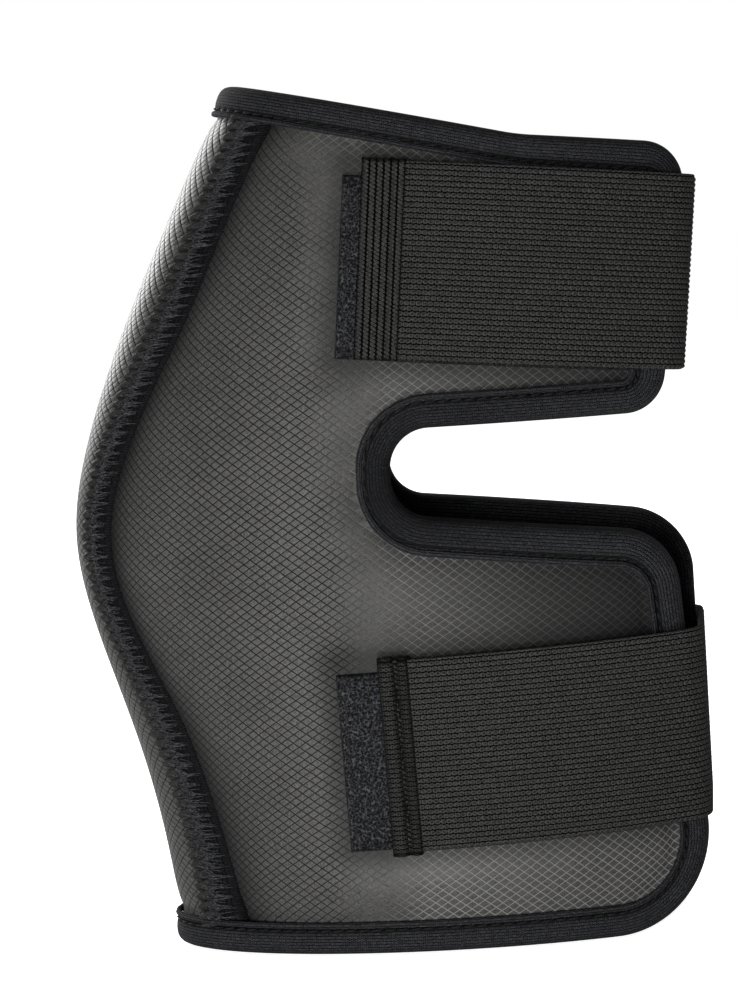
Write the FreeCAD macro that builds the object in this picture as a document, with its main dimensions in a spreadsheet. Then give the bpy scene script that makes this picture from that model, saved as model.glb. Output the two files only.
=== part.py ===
import FreeCAD, Part
import os
import Sketcher
from FreeCAD import Placement, Rotation, Vector

# Elbow guard: a pre-bent, padded wrap-around sleeve standing on its lower rim.
# X runs from the spine (elbow side, left) to the open side (right), Y from the
# front panel to the rear panel, Z from the lower rim up.

DOC = FreeCAD.newDocument("elbow_guard")

DIMS = {
    # the sleeve's middle plane, set so that the closed guard is centred on Y
    "middle_y": 2.1,
    # layers of the padded wall, measured from the face of the cover
    "cover_thick": 1.0,
    "foam_thick": 5.0,
    "lining_thick": 1.0,
    # edge binding folded over the wall, and the welt sewn along it
    "bind_proud": 0.9,
    "bind_inside": 0.8,
    "bind_width": 6.3,
    "bind_bed": 1.0,
    "welt_edge": 8.2,
    "welt_proud": 1.6,
    # seam that joins the two panels along the spine
    "seam_half": 3.5,
    "seam_proud": 1.1,
    "seam_row_near": 1.4,
    "seam_row_far": 3.2,
    "seam_row_proud": 1.9,
    "seam_end_y": -16.1,
    "seam_low_knee_y": -14.5,
    "seam_high_knee_y": -16.3,
    "seam_elbow_y": -9.1,
    "seam_low_knee_z": 62,
    "seam_elbow_z": 108,
    "seam_high_knee_z": 166,
    "seam_round": 180,
    # front and rear outlines: lower flap, crook cut-out, upper flap, top line
    "rim_x": 80.4,
    "rear_rim_x": 81.1,
    "low_flap_x": 72.8,
    "rear_low_flap_x": 80.8,
    "rear_low_flap_z": 105.6,
    "low_flap_z": 104.8,
    "crook_x": 0.4,
    "crook_low_z": 114.5,
    "crook_high_z": 136.0,
    "up_flap_low_x": 71.2,
    "up_flap_low_z": 136.0,
    "up_flap_high_x": 81.8,
    "up_flap_high_z": 204.2,
    "top_break_x": 37.5,
    "top_break_z": 208.9,
    "top_left_z": 242.4,
    "far_left_x": -100,
    "rim_round": 26,
    "flap_round": 17,
    "crook_round": 10.2,
    "small_round": 11,
    "top_round": 60,
    # line where the guard bends at the elbow
    "bend_z": 125,
    "bend_gap": 0.3,
    # reach of the cutting blocks beyond the guard
    "reach": 90,
    # closures: loop patch on the panel, hook tab and elastic strap over it;
    # the strap rides strap_shift further out in front than behind
    "strap_wide": 50,
    "strap_shift": 1.0,
    "strap_inner": 2.1,
    "strap_thick": 1.6,
    "hem_thick": 1.2,
    "hem_long": 11,
    "patch_inner": 0.1,
    "patch_outer": 1.3,
    "patch_thread": 1.55,
    "patch_long": 76.5,
    "patch_wide": 46.5,
    "hook_thick": 1.25,
    "hook_long": 52,
    "hook_inset": 2.5,
    "thread_wide": 1.2,
    "thread_thick": 0.6,
    "thread_inset": 3.0,
    "anchor_x": 38,
    "anchor_inner": 0.1,
    "strap_gap": 0.4,
    # room that the rim leaves under a strap, over its faces and at its edge
    "room_face": 0.15,
    "room_edge": 0.4,
    "corner_outer": 10.0,
    "hinge_inset": 7.0,
    # upper strap: lower edge height at the free end, slope, side plane
    "up_strap_x": -7.0,
    "up_strap_z": 155.2,
    "up_strap_tilt": 6.0,
    "up_patch_x": -12.0,
    "up_patch_z": 155.0,
    "up_side_x": 81.0,
    "up_side_z": 175,
    "up_side_tilt": 6.5,
    "up_side_yaw": 0,
    # lower strap
    "low_strap_x": -4.6,
    "low_strap_z": 27.6,
    "low_strap_tilt": -1.4,
    "low_patch_x": -15.6,
    "low_patch_z": 27.6,
    "low_side_x": 81.4,
    "low_side_z": 54,
    "low_side_tilt": 0,
    "low_side_yaw": 6.1,
}

# Horizontal sections of the sleeve: height, spine side, open side, half depth.
STATIONS = {
    "foot": (-8, -62.8, 91.0, 33.6),
    "cuff": (25, -64.5, 92.0, 34.8),
    "low_arm": (60, -71.8, 92.8, 36.5),
    "below_elbow": (90, -80.5, 93.4, 37.6),
    "elbow": (111, -83.3, 93.9, 38.0),
    "above_elbow": (132, -79.6, 94.4, 37.8),
    "mid_arm": (165, -66.9, 95.1, 37.1),
    "high_arm": (200, -49.7, 96.0, 36.0),
    "head": (245, -27.6, 97.0, 34.0),
}
for station, (level, left, right, half_depth) in STATIONS.items():
    DIMS[station + "_level"] = level
    DIMS[station + "_left"] = left
    DIMS[station + "_right"] = right
    DIMS[station + "_depth"] = half_depth

sheet = DOC.addObject("Spreadsheet::Sheet", "Dims")
for row, (alias, value) in enumerate(DIMS.items(), start=1):
    sheet.set("A%d" % row, alias)
    sheet.set("B%d" % row, str(value))
    sheet.setAlias("B%d" % row, alias)
DOC.recompute()

nodes = []


def bind(obj, **expressions):
    """Tie properties of an object to the sheet; __ in a name stands for a dot."""
    for name, expression in expressions.items():
        obj.setExpression(name.replace("__", "."), expression)
    return obj


def sleeve(name, offset, shift="0"):
    """Closed sleeve through the stations, moved out and to the front."""
    sections = []
    for station in STATIONS:
        ring = DOC.addObject("Part::Ellipse", "%s_%s" % (name, station))
        side = "Dims.%s_" % station
        bind(
            ring,
            MajorRadius="(%sright - %sleft) / 2 + (%s)" % (side, side, offset),
            MinorRadius="%sdepth + (%s)" % (side, offset),
            Placement__Base__x="(%sright + %sleft) / 2" % (side, side),
            Placement__Base__y="Dims.middle_y - (%s)" % shift,
            Placement__Base__z=side + "level",
        )
        sections.append(ring)
    loft = DOC.addObject("Part::Loft", name)
    loft.Sections = sections
    loft.Solid = True
    loft.Ruled = False
    return loft


def block(name, x, y, z, dx, dy, dz):
    """Box from its lowest corner and its size, each an expression."""
    box = DOC.addObject("Part::Box", name)
    return bind(
        box,
        Length=dx,
        Width=dy,
        Height=dz,
        Placement__Base__x=x,
        Placement__Base__y=y,
        Placement__Base__z=z,
    )


def cut(name, base, tool):
    result = DOC.addObject("Part::Cut", name)
    result.Base = base
    result.Tool = tool
    return result


def common(name, *shapes):
    result = DOC.addObject("Part::MultiCommon", name)
    result.Shapes = list(shapes)
    return result


def fuse(name, *shapes):
    result = DOC.addObject("Part::MultiFuse", name)
    result.Shapes = list(shapes)
    result.Refine = True
    return result


def node(obj, label):
    """Mark an object as a finished sub-part."""
    obj.Label = label
    nodes.append(obj)
    return obj


def polygon(body, name, corners, placement):
    """Closed sketch of straight lines; each corner is a pair of expressions."""
    sketch = body.newObject("Sketcher::SketchObject", name)
    sketch.Placement = placement
    count = len(corners)
    for index in range(count):
        start = Vector(float(index), float(index * index), 0)
        after = (index + 1) % count
        end = Vector(float(after), float(after * after), 0)
        sketch.addGeometry(Part.LineSegment(start, end))
    for index in range(count):
        sketch.addConstraint(
            Sketcher.Constraint("Coincident", index, 2, (index + 1) % count, 1)
        )
    for index, (across, up) in enumerate(corners):
        for kind, expression in (("DistanceX", across), ("DistanceY", up)):
            datum = sketch.addConstraint(
                Sketcher.Constraint(kind, -1, 1, index, 1, 1.0)
            )
            sketch.setExpression("Constraints[%d]" % datum, expression)
    return sketch


def edges_at(shape, along, spots):
    """Names of the straight edges along an axis that pass through the spots."""
    names = []
    for number, edge in enumerate(shape.Edges, start=1):
        first, last = edge.Vertexes[0].Point, edge.Vertexes[-1].Point
        run = last - first
        if run.Length < 1 or run.cross(along).Length > 1e-3:
            continue
        if any((spot - first).cross(along).Length < 1e-3 for spot in spots):
            names.append("Edge%d" % number)
    return names


def value(expression):
    """Number that a sheet expression of sums and differences stands for."""
    total = 0.0
    for word in expression.replace("- ", "-").replace("+ ", "+").split():
        sign = -1.0 if word.startswith("-") else 1.0
        word = word.lstrip("+-")
        total += sign * (sheet.get(word[5:]) if word.startswith("Dims.") else float(word))
    return total


def outline(name, inset, rear):
    """Block with the outline of one panel, every edge moved in by the inset."""
    rim_x = "Dims.rear_rim_x" if rear else "Dims.rim_x"
    flap = "Dims.rear_low_flap_" if rear else "Dims.low_flap_"
    corners = {
        "left_low": ("Dims.far_left_x", inset, None),
        "rim": (rim_x + " - " + inset, inset, "Dims.rim_round - " + inset),
        "low_flap": (
            flap + "x - " + inset,
            flap + "z - " + inset,
            "Dims.flap_round - " + inset,
        ),
        "crook_low": (
            "Dims.crook_x - " + inset,
            "Dims.crook_low_z - " + inset,
            "Dims.crook_round + " + inset,
        ),
        "crook_high": (
            "Dims.crook_x - " + inset,
            "Dims.crook_high_z + " + inset,
            "Dims.crook_round + " + inset,
        ),
        "up_flap_low": (
            "Dims.up_flap_low_x - " + inset,
            "Dims.up_flap_low_z + " + inset,
            "Dims.small_round - " + inset,
        ),
        "up_flap_high": (
            "Dims.up_flap_high_x - " + inset,
            "Dims.up_flap_high_z - " + inset,
            "Dims.small_round - " + inset,
        ),
        "top_break": (
            "Dims.top_break_x",
            "Dims.top_break_z - " + inset,
            "Dims.top_round",
        ),
        "left_high": ("Dims.far_left_x", "Dims.top_left_z - " + inset, None),
    }
    body = DOC.addObject("PartDesign::Body", name)
    plane = Placement(Vector(0, 0, 0), Rotation(Vector(1, 0, 0), 90))
    pairs = [(across, up) for across, up, _ in corners.values()]
    sketch = polygon(body, name + "_sketch", pairs, plane)
    pad = body.newObject("PartDesign::Pad", name + "_pad")
    pad.Profile = sketch
    pad.Reversed = rear
    bind(pad, Length="Dims.reach")
    DOC.recompute()
    tip = pad
    for radius in dict.fromkeys(r for _, _, r in corners.values() if r):
        spots = [
            Vector(value(x), 0, value(z)) for x, z, r in corners.values() if r == radius
        ]
        fillet = body.newObject("PartDesign::Fillet", name + "_round")
        fillet.Base = (tip, edges_at(tip.Shape, Vector(0, 1, 0), spots))
        bind(fillet, Radius=radius)
        tip = fillet
        DOC.recompute()
    return body


def both_outlines(name, inset):
    """Front and rear outline blocks as one cutter."""
    return fuse(
        name,
        outline(name + "_front", inset, False),
        outline(name + "_rear", inset, True),
    )


def leaning(name, x, z, tilt, long, wide, high, y="-Dims.reach"):
    """Box turned about Y: a positive tilt leans its upright faces to +X."""
    box = block(name, x, y, z, long, wide, high)
    box.Placement.Rotation = Rotation(Vector(0, 1, 0), 1)
    return bind(box, Placement__Rotation__Angle=tilt)


def side_box(name, key, inset):
    """Everything on the open side of the strap's side plane, moved in by inset."""
    side = "Dims.%s_side_" % key
    lean = "(%sz + 20) * tan(%stilt)" % (side, side)
    slant = "Dims.reach * tan(%syaw)" % side
    x = "%sx - (%s) - %s - %s" % (side, inset, lean, slant)
    box = block(name, x, "-Dims.reach", "-20", "80", "2.2 * Dims.reach", "300")
    yaw, tilt = sheet.get(key + "_side_yaw"), sheet.get(key + "_side_tilt")
    turn = Rotation(Vector(0, 0, 1), -yaw) * Rotation(Vector(0, 1, 0), tilt)
    box.Placement.Rotation = turn
    return box


def turned_sleeve(name, body, key, inset, radius):
    """Sleeve cut off flat on the open side, its two upright edges rounded."""
    flat = cut(name + "_flat", body, side_box(name + "_side", key, inset))
    DOC.recompute()
    numbers = [
        number
        for number, edge_ in enumerate(flat.Shape.Edges, start=1)
        if edge_.BoundBox.ZLength > 200 and edge_.BoundBox.XMin > 40
    ]
    rounded = DOC.addObject("Part::Fillet", name + "_round")
    rounded.Base = flat
    rounded.Edges = [(number, radius, radius) for number in numbers]
    return rounded


def frame(name, x, z, tilt, long, high, line):
    """Rectangular ring of stitching in front view, between two leaning boxes."""
    outer = leaning(name + "_outer", x, z, tilt, long, "2 * Dims.reach", high)
    inner = leaning(
        name + "_inner", x + " + " + line, z + " + " + line, tilt,
        long + " - 2 * " + line, "2 * Dims.reach", high + " - 2 * " + line,
    )
    return cut(name, outer, inner)


# --- faces of the padded wall -------------------------------------------------
INSIDE = "-Dims.cover_thick - Dims.foam_thick - Dims.lining_thick"
face = sleeve("cover_face", "0")
foam_face = sleeve("foam_face", "-Dims.cover_thick")
lining_face = sleeve("lining_face", "-Dims.cover_thick - Dims.foam_thick")
inner_face = sleeve("inner_face", INSIDE)
bind_face = sleeve("binding_face", "Dims.bind_proud")
bind_inner_face = sleeve("binding_inner_face", INSIDE + " - Dims.bind_inside")
welt_face = sleeve("welt_face", "Dims.welt_proud")
seam_face = sleeve("seam_face", "Dims.seam_proud")
row_face = sleeve("seam_row_face", "Dims.seam_row_proud")

edge = both_outlines("edge", "0")
bed = both_outlines("bed", "Dims.bind_bed")
bind_line = both_outlines("binding_line", "Dims.bind_width")
welt_line = both_outlines("welt_line", "Dims.welt_edge")


def spine_strip(name, low, high):
    """Block between two offsets from the seam line, on the spine side only."""
    body = DOC.addObject("PartDesign::Body", name)
    plane = Placement(Vector(-120, 0, 0), Rotation(Vector(1, 1, 1), 120))
    line = [
        ("Dims.seam_end_y", "-20"),
        ("Dims.seam_low_knee_y", "Dims.seam_low_knee_z"),
        ("Dims.seam_elbow_y", "Dims.seam_elbow_z"),
        ("Dims.seam_high_knee_y", "Dims.seam_high_knee_z"),
        ("Dims.seam_end_y", "250"),
    ]
    corners = [(y + low, z) for y, z in line] + [(y + high, z) for y, z in line[::-1]]
    sketch = polygon(body, name + "_sketch", corners, plane)
    pad = body.newObject("PartDesign::Pad", name + "_pad")
    pad.Profile = sketch
    bind(pad, Length="110")
    DOC.recompute()
    spots = [Vector(0, value(y), value(z)) for y, z in corners[1:4] + corners[6:9]]
    fillet = body.newObject("PartDesign::Fillet", name + "_round")
    fillet.Base = (pad, edges_at(pad.Shape, Vector(1, 0, 0), spots))
    bind(fillet, Radius="Dims.seam_round")
    DOC.recompute()
    return body


# --- halves: below and above the bend, in front of and behind the spine seam ------
below = block(
    "below_bend", "-120", "-Dims.reach", "-20", "260", "2 * Dims.reach",
    "Dims.bend_z - Dims.bend_gap / 2 + 20",
)
above = block(
    "above_bend", "-120", "-Dims.reach", "Dims.bend_z + Dims.bend_gap / 2", "260",
    "2 * Dims.reach", "150",
)
before_spine = spine_strip("before_spine", " - 70", " + 0")
before_opening = block(
    "before_opening", "-15", "-Dims.reach", "-20", "140", "Dims.reach", "270"
)
front_side = fuse("front_side", before_spine, before_opening)
seam_strip = spine_strip("seam_strip", " - Dims.seam_half", " + Dims.seam_half")
braid_strip = spine_strip("braid_strip", " + Dims.seam_row_near", " + Dims.seam_row_far")
tuft_strip = spine_strip("tuft_strip", " - Dims.seam_row_far", " - Dims.seam_row_near")

layers = {
    "cover": cut("cover_layer", face, foam_face),
    "foam": cut("foam_layer", foam_face, lining_face),
    "lining": cut("lining_layer", lining_face, inner_face),
}
wall = cut("wall", face, inner_face)
bind_wall = cut("binding_wall", bind_face, bind_inner_face)
rim_ring = cut("rim_ring", edge, bind_line)
rim_wall = common("rim_wall", bind_wall, rim_ring)
wall_bed = common("wall_bed", wall, bed)
whole_binding = cut("whole_binding", rim_wall, wall_bed)
welt_layer = cut("welt_layer", welt_face, face)
welt_ring = cut("welt_ring", bind_line, welt_line)
welt = common("welt", welt_layer, welt_ring)
seam_layer = cut("seam_layer", seam_face, face)
row_layer = cut("seam_row_layer", row_face, seam_face)


def strap_room(key):
    """What the rim gives up where a strap turns round the open edge."""
    tilt = "Dims.%s_strap_tilt" % key
    band = leaning(
        key + "_room_band", "Dims.%s_strap_x" % key,
        "Dims.%s_strap_z - Dims.room_edge" % key, tilt, "150", "2 * Dims.reach",
        "Dims.strap_wide + 2 * Dims.room_edge",
    )
    face = sleeve(
        key + "_room_face", "Dims.strap_inner - Dims.room_face", "Dims.strap_shift"
    )
    radius = sheet.get("corner_outer") - sheet.get("strap_thick")
    kept = turned_sleeve(
        key + "_room", face, key, "Dims.strap_thick + Dims.room_edge", radius
    )
    return cut(key + "_strap_room", band, kept)


binding = cut(
    "binding", whole_binding, fuse("rim_room", strap_room("up"), strap_room("low"))
)

rim_runs = {
    "lower": block("low_rim_run", "-120", "-Dims.reach", "-20", "176", "180", "45"),
    "upper": block("high_rim_run", "-120", "-Dims.reach", "180", "172", "180", "80"),
}
front_half = block("front_half", "-15", "-Dims.reach", "-20", "140", "Dims.reach", "270")
rear_half = block("rear_half", "-15", "0", "-20", "140", "Dims.reach", "270")

for half, span in (("lower", below), ("upper", above)):
    for layer, skin in layers.items():
        panel = common("%s_%s_panel" % (half, layer), skin, bed, span)
        front = common("%s_%s_front" % (half, layer), panel, front_side)
        rear = cut("%s_%s_rear" % (half, layer), panel, front_side)
        node(front, "%s_front_%s" % (half, layer))
        node(rear, "%s_rear_%s" % (half, layer))
    half_binding = common(half + "_binding", binding, span)
    rim_run = rim_runs[half]
    rim = common(half + "_rim", half_binding, rim_run)
    flaps = cut(half + "_flap_rims", half_binding, rim_run)
    node(rim, "bottom_binding" if half == "lower" else "top_binding")
    node(common(half + "_front_rim", flaps, front_half), half + "_front_flap_binding")
    node(common(half + "_rear_rim", flaps, rear_half), half + "_rear_flap_binding")
    node(common(half + "_welt", welt, span), half + "_edge_welt")
    for strip, layer, label in (
        (seam_strip, seam_layer, "spine_seam_tape"),
        (braid_strip, row_layer, "spine_seam_braid"),
        (tuft_strip, row_layer, "spine_seam_zigzag"),
    ):
        run = common("%s_%s" % (half, label), layer, strip, welt_line, span)
        node(run, "%s_%s" % (half, label))


# --- closures -----------------------------------------------------------------
strap_faces = {
    "hook": sleeve("hook_face", "Dims.strap_inner - Dims.hook_thick", "Dims.strap_shift"),
    "inner": sleeve("strap_inner_face", "Dims.strap_inner", "Dims.strap_shift"),
    "outer": sleeve(
        "strap_outer_face", "Dims.strap_inner + Dims.strap_thick", "Dims.strap_shift"
    ),
    "hem": sleeve(
        "hem_face",
        "Dims.strap_inner + Dims.strap_thick + Dims.hem_thick",
        "Dims.strap_shift",
    ),
    "thread": sleeve(
        "strap_thread_face",
        "Dims.strap_inner + Dims.strap_thick + Dims.thread_thick",
        "Dims.strap_shift",
    ),
}
patch_layer = cut(
    "patch_layer",
    sleeve("patch_face", "Dims.patch_outer"),
    sleeve("patch_back", "Dims.patch_inner"),
)
patch_thread_layer = cut(
    "patch_thread_layer", sleeve("patch_thread_face", "Dims.patch_thread"), patch_layer.Base
)
hook_layer = cut("hook_layer", strap_faces["inner"], strap_faces["hook"])
hem_layer = cut("hem_layer", strap_faces["hem"], strap_faces["outer"])
anchor_layer = cut(
    "anchor_layer", strap_faces["outer"], sleeve("anchor_back", "Dims.anchor_inner")
)
anchor_thread_layer = cut(
    "anchor_thread_layer", strap_faces["thread"], strap_faces["outer"]
)


rim_seat = fuse("rim_seat", whole_binding, welt)

for key, label in (("up", "upper"), ("low", "lower")):
    tilt = "Dims.%s_strap_tilt" % key
    strap_x, strap_z = "Dims.%s_strap_x" % key, "Dims.%s_strap_z" % key
    slab = leaning(
        key + "_slab", strap_x, strap_z, tilt, "150", "2 * Dims.reach", "Dims.strap_wide"
    )
    corner = sheet.get("corner_outer")
    thick = sheet.get("strap_thick")
    outer = turned_sleeve(key + "_strap_out", strap_faces["outer"], key, "0", corner)
    inner = turned_sleeve(
        key + "_strap_in", strap_faces["inner"], key, "Dims.strap_thick", corner - thick
    )
    tube = common(key + "_strap", cut(key + "_strap_tube", outer, inner), slab)
    hinge_near = side_box(
        key + "_hinge_near", key, "Dims.hinge_inset + Dims.strap_gap / 2"
    )
    hinge_far = side_box(
        key + "_hinge_far", key, "Dims.hinge_inset - Dims.strap_gap / 2"
    )
    node(common(key + "_strap_band", tube, hinge_far), label + "_strap_band")
    loose = cut(key + "_strap_loose", tube, hinge_near)
    node(common(key + "_strap_front", loose, front_half), label + "_strap_end")

    anchor_span = block(
        key + "_anchor_span", "Dims.anchor_x", "0", "-20", "80", "Dims.reach", "270"
    )
    anchor_band = common(key + "_anchor_band", anchor_layer, slab, anchor_span)
    anchor = cut(key + "_anchor_run", anchor_band, hinge_near)
    node(cut(key + "_anchor", anchor, rim_seat), label + "_strap_anchor")
    box_x, box_long = "Dims.anchor_x + Dims.thread_inset", "26"
    box_z = "%s + Dims.thread_inset - (Dims.anchor_x - %s) * tan(%s)" % (
        strap_z, strap_x, tilt,
    )
    box_stitch = frame(
        key + "_box_stitch", box_x, box_z, tilt, box_long,
        "(Dims.strap_wide - 2 * Dims.thread_inset)", "Dims.thread_wide",
    )
    node(
        common(key + "_anchor_stitch", anchor_thread_layer, box_stitch, anchor_span),
        label + "_anchor_stitching",
    )

    hem_box = leaning(
        key + "_hem_box", strap_x, strap_z, tilt, "Dims.hem_long", "2 * Dims.reach",
        "Dims.strap_wide",
    )
    front_face = block(
        key + "_front_face", "-60", "-Dims.reach", "-20", "160", "Dims.reach", "270"
    )
    node(common(key + "_hem", hem_layer, hem_box, front_face), label + "_strap_hem")
    hook_box = leaning(
        key + "_hook_box", strap_x + " + Dims.hook_inset", strap_z + " + Dims.hook_inset",
        tilt, "Dims.hook_long", "2 * Dims.reach", "Dims.strap_wide - 2 * Dims.hook_inset",
    )
    node(common(key + "_hook", hook_layer, hook_box, front_face), label + "_hook_tab")
    patch_x, patch_z = "Dims.%s_patch_x" % key, "Dims.%s_patch_z" % key
    patch_box = leaning(
        key + "_patch_box", patch_x, patch_z, tilt, "Dims.patch_long",
        "2 * Dims.reach", "Dims.patch_wide",
    )
    node(common(key + "_patch", patch_layer, patch_box, front_face), label + "_loop_patch")
    patch_stitch = frame(
        key + "_patch_frame", patch_x + " + Dims.thread_wide",
        patch_z + " + Dims.thread_wide", tilt, "(Dims.patch_long - 2 * Dims.thread_wide)",
        "(Dims.patch_wide - 2 * Dims.thread_wide)", "Dims.thread_wide",
    )
    node(
        common(key + "_patch_stitch", patch_thread_layer, patch_stitch, front_face),
        label + "_patch_stitching",
    )

DOC.recompute()

# --- proof and export ---------------------------------------------------------
for obj in DOC.Objects:
    if "Invalid" in obj.State or "Error" in obj.State:
        raise RuntimeError("%s did not compute" % obj.Name)
os.makedirs("parts", exist_ok=True)
for obj in nodes:
    if obj.Shape.isNull() or not obj.Shape.isValid() or obj.Shape.Volume <= 0:
        raise RuntimeError("%s has no sound solid" % obj.Label)
    obj.Shape.exportStep("parts/%s.step" % obj.Label)
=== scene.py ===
from math import atan2, cos, pi, radians, sin, tan

import bmesh
import bpy
import numpy as np
from mathutils import Matrix, Vector

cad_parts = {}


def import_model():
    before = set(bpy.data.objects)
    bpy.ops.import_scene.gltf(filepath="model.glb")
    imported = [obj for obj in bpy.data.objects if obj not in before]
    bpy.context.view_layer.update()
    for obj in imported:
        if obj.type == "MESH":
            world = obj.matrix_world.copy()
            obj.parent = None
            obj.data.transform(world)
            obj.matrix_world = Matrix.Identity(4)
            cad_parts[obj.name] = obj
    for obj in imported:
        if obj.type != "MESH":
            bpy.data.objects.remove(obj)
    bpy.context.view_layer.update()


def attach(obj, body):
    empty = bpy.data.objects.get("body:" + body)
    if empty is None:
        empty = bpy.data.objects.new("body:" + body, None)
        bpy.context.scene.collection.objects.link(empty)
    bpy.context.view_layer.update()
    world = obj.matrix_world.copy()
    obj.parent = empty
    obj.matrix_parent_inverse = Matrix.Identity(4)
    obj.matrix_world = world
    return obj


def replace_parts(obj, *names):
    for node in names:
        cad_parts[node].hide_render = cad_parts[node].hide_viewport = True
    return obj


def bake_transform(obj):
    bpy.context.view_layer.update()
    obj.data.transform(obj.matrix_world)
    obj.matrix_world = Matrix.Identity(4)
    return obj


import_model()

# Elbow guard. Shapes are worked out in millimetres and turned into metres when a mesh is
# made. X runs from the spine to the open side, Y from the front panel to the rear one.
MM = 0.001
rng = np.random.default_rng(11)


# --- the sleeve's shape -------------------------------------------------------
# Horizontal sections: height, spine side, open side, half depth.
STATIONS = np.array([
    (-8, -62.8, 91.0, 33.6),
    (25, -64.5, 92.0, 34.8),
    (60, -71.8, 92.8, 36.5),
    (90, -80.5, 93.4, 37.6),
    (111, -83.3, 93.9, 38.0),
    (132, -79.6, 94.4, 37.8),
    (165, -66.9, 95.1, 37.1),
    (200, -49.7, 96.0, 36.0),
    (245, -27.6, 97.0, 34.0),
])
MIDDLE_Y = 2.1
WALL = 7.0
FRONT, REAR = -1, 1

# Outline of the panels in front view: rim, flaps, cut-out at the crook and top edge.
RIM_X = {FRONT: 80.4, REAR: 81.1}
LOW_FLAP = {FRONT: (72.8, 104.8), REAR: (80.8, 105.6)}
CROOK_X, CROOK_LOW_Z, CROOK_HIGH_Z = 0.4, 114.5, 136.0
UP_FLAP_LOW, UP_FLAP_HIGH = (71.2, 136.0), (81.8, 204.2)
TOP_BREAK, TOP_SLOPE = (37.5, 208.9), -0.2436
RIM_ROUND, FLAP_ROUND, CROOK_ROUND, SMALL_ROUND, TOP_ROUND = 26, 17, 10.2, 11, 60
FAR_LEFT, LOW_RUN_X, HIGH_RUN_X = -120, -25, 10

# Seam along the spine: Y and height of its knees, and how round they are.
SEAM = [(-16.1, -20, 0), (-14.5, 62, 180), (-9.1, 108, 180), (-16.3, 166, 180), (-16.1, 250, 0)]
SEAM_HALF, SEAM_EDGE, SEAM_PITCH = 3.5, 2.3, 2.8

# Edge binding and welt: how far each reaches in from the edge, and their stitch length.
BIND_WIDE, WELT_EDGE = 6.8, 8.9
STITCH = 3.4


def spline(knots, values, at):
    """Natural cubic spline through the values at the knots."""
    gap = np.diff(knots)
    count = len(knots)
    system, right = np.eye(count), np.zeros(count)
    for k in range(1, count - 1):
        system[k, k - 1 : k + 2] = gap[k - 1], 2 * (gap[k - 1] + gap[k]), gap[k]
        rise = np.diff(values[k - 1 : k + 2]) / gap[k - 1 : k + 1]
        right[k] = 6 * (rise[1] - rise[0])
    bend = np.linalg.solve(system, right)
    k = np.clip(np.searchsorted(knots, at) - 1, 0, count - 2)
    a = (knots[k + 1] - at) / gap[k]
    b = 1 - a
    curve = (a**3 - a) * bend[k] + (b**3 - b) * bend[k + 1]
    return a * values[k] + b * values[k + 1] + curve * gap[k] ** 2 / 6


LEVELS = np.arange(-12, 252, 0.5)
LEFT, RIGHT, DEPTH = (spline(STATIONS[:, 0], STATIONS[:, c], LEVELS) for c in (1, 2, 3))


def section(z):
    """Middle, half width and half depth of the sleeve at a height."""
    left, right, depth = (np.interp(z, LEVELS, side) for side in (LEFT, RIGHT, DEPTH))
    return (left + right) / 2, (right - left) / 2, depth


def rise_at(x, z, offset=0.0):
    """Distance in Y between the sleeve's middle and its face, where it has this X."""
    middle, wide, depth = section(z)
    return (depth + offset) * np.sqrt(np.clip(1 - ((x - middle) / (wide + offset)) ** 2, 0, 1))


def skin(angle, z, offset=0.0):
    """Point of the sleeve at an angle from +X, moved out from the cover's face."""
    middle, wide, depth = section(z)
    x = middle + (wide + offset) * np.cos(angle)
    y = MIDDLE_Y + (depth + offset) * np.sin(angle)
    return np.stack(np.broadcast_arrays(x, y, z), axis=-1)


def turn_at(x, z, offset=0.0):
    """Angle between +X and the point of the sleeve that has this X."""
    middle, wide, _ = section(z)
    return np.arccos(np.clip((x - middle) / (wide + offset), -1, 1))


def smooth(low, high, at):
    t = np.clip((at - low) / (high - low), 0, 1)
    return t * t * (3 - 2 * t)


# Arc length along each section, from where X is 10, growing towards the spine.
ARC_STEP = 2.0
ARC_LEVELS = np.arange(-4, 246, ARC_STEP)
ARC_TURNS = np.linspace(0, 1.25 * pi, 500)
ARC_START_X = 10


def arc_rows():
    rows = []
    for z in ARC_LEVELS:
        _, wide, depth = section(z)
        speed = np.hypot(wide * np.sin(ARC_TURNS), depth * np.cos(ARC_TURNS))
        run = np.concatenate(([0], np.cumsum((speed[1:] + speed[:-1]) / 2 * np.diff(ARC_TURNS))))
        rows.append(run - np.interp(turn_at(ARC_START_X, z), ARC_TURNS, run))
    return np.array(rows)


ARC_ROWS = arc_rows()


def between_rows(z, look):
    """Blend of what look(row, which points) finds on the rows below and above each z."""
    place = np.clip((z - ARC_LEVELS[0]) / ARC_STEP, 0, len(ARC_LEVELS) - 1.001)
    row = place.astype(int)
    found = np.zeros(len(row))
    for k in np.unique(row):
        here = row == k
        part = place[here] - k
        found[here] = look(k, here) * (1 - part) + look(k + 1, here) * part
    return found


def turn_from_arc(s, z):
    """Angle at a distance s along the surface, towards the open side, at height z."""
    return between_rows(z, lambda k, here: np.interp(-s[here], ARC_ROWS[k], ARC_TURNS))


def arc_at(turn, z):
    """Distance along the surface, the opposite of turn_from_arc."""
    return -between_rows(z, lambda k, here: np.interp(turn[here], ARC_TURNS, ARC_ROWS[k]))


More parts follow.
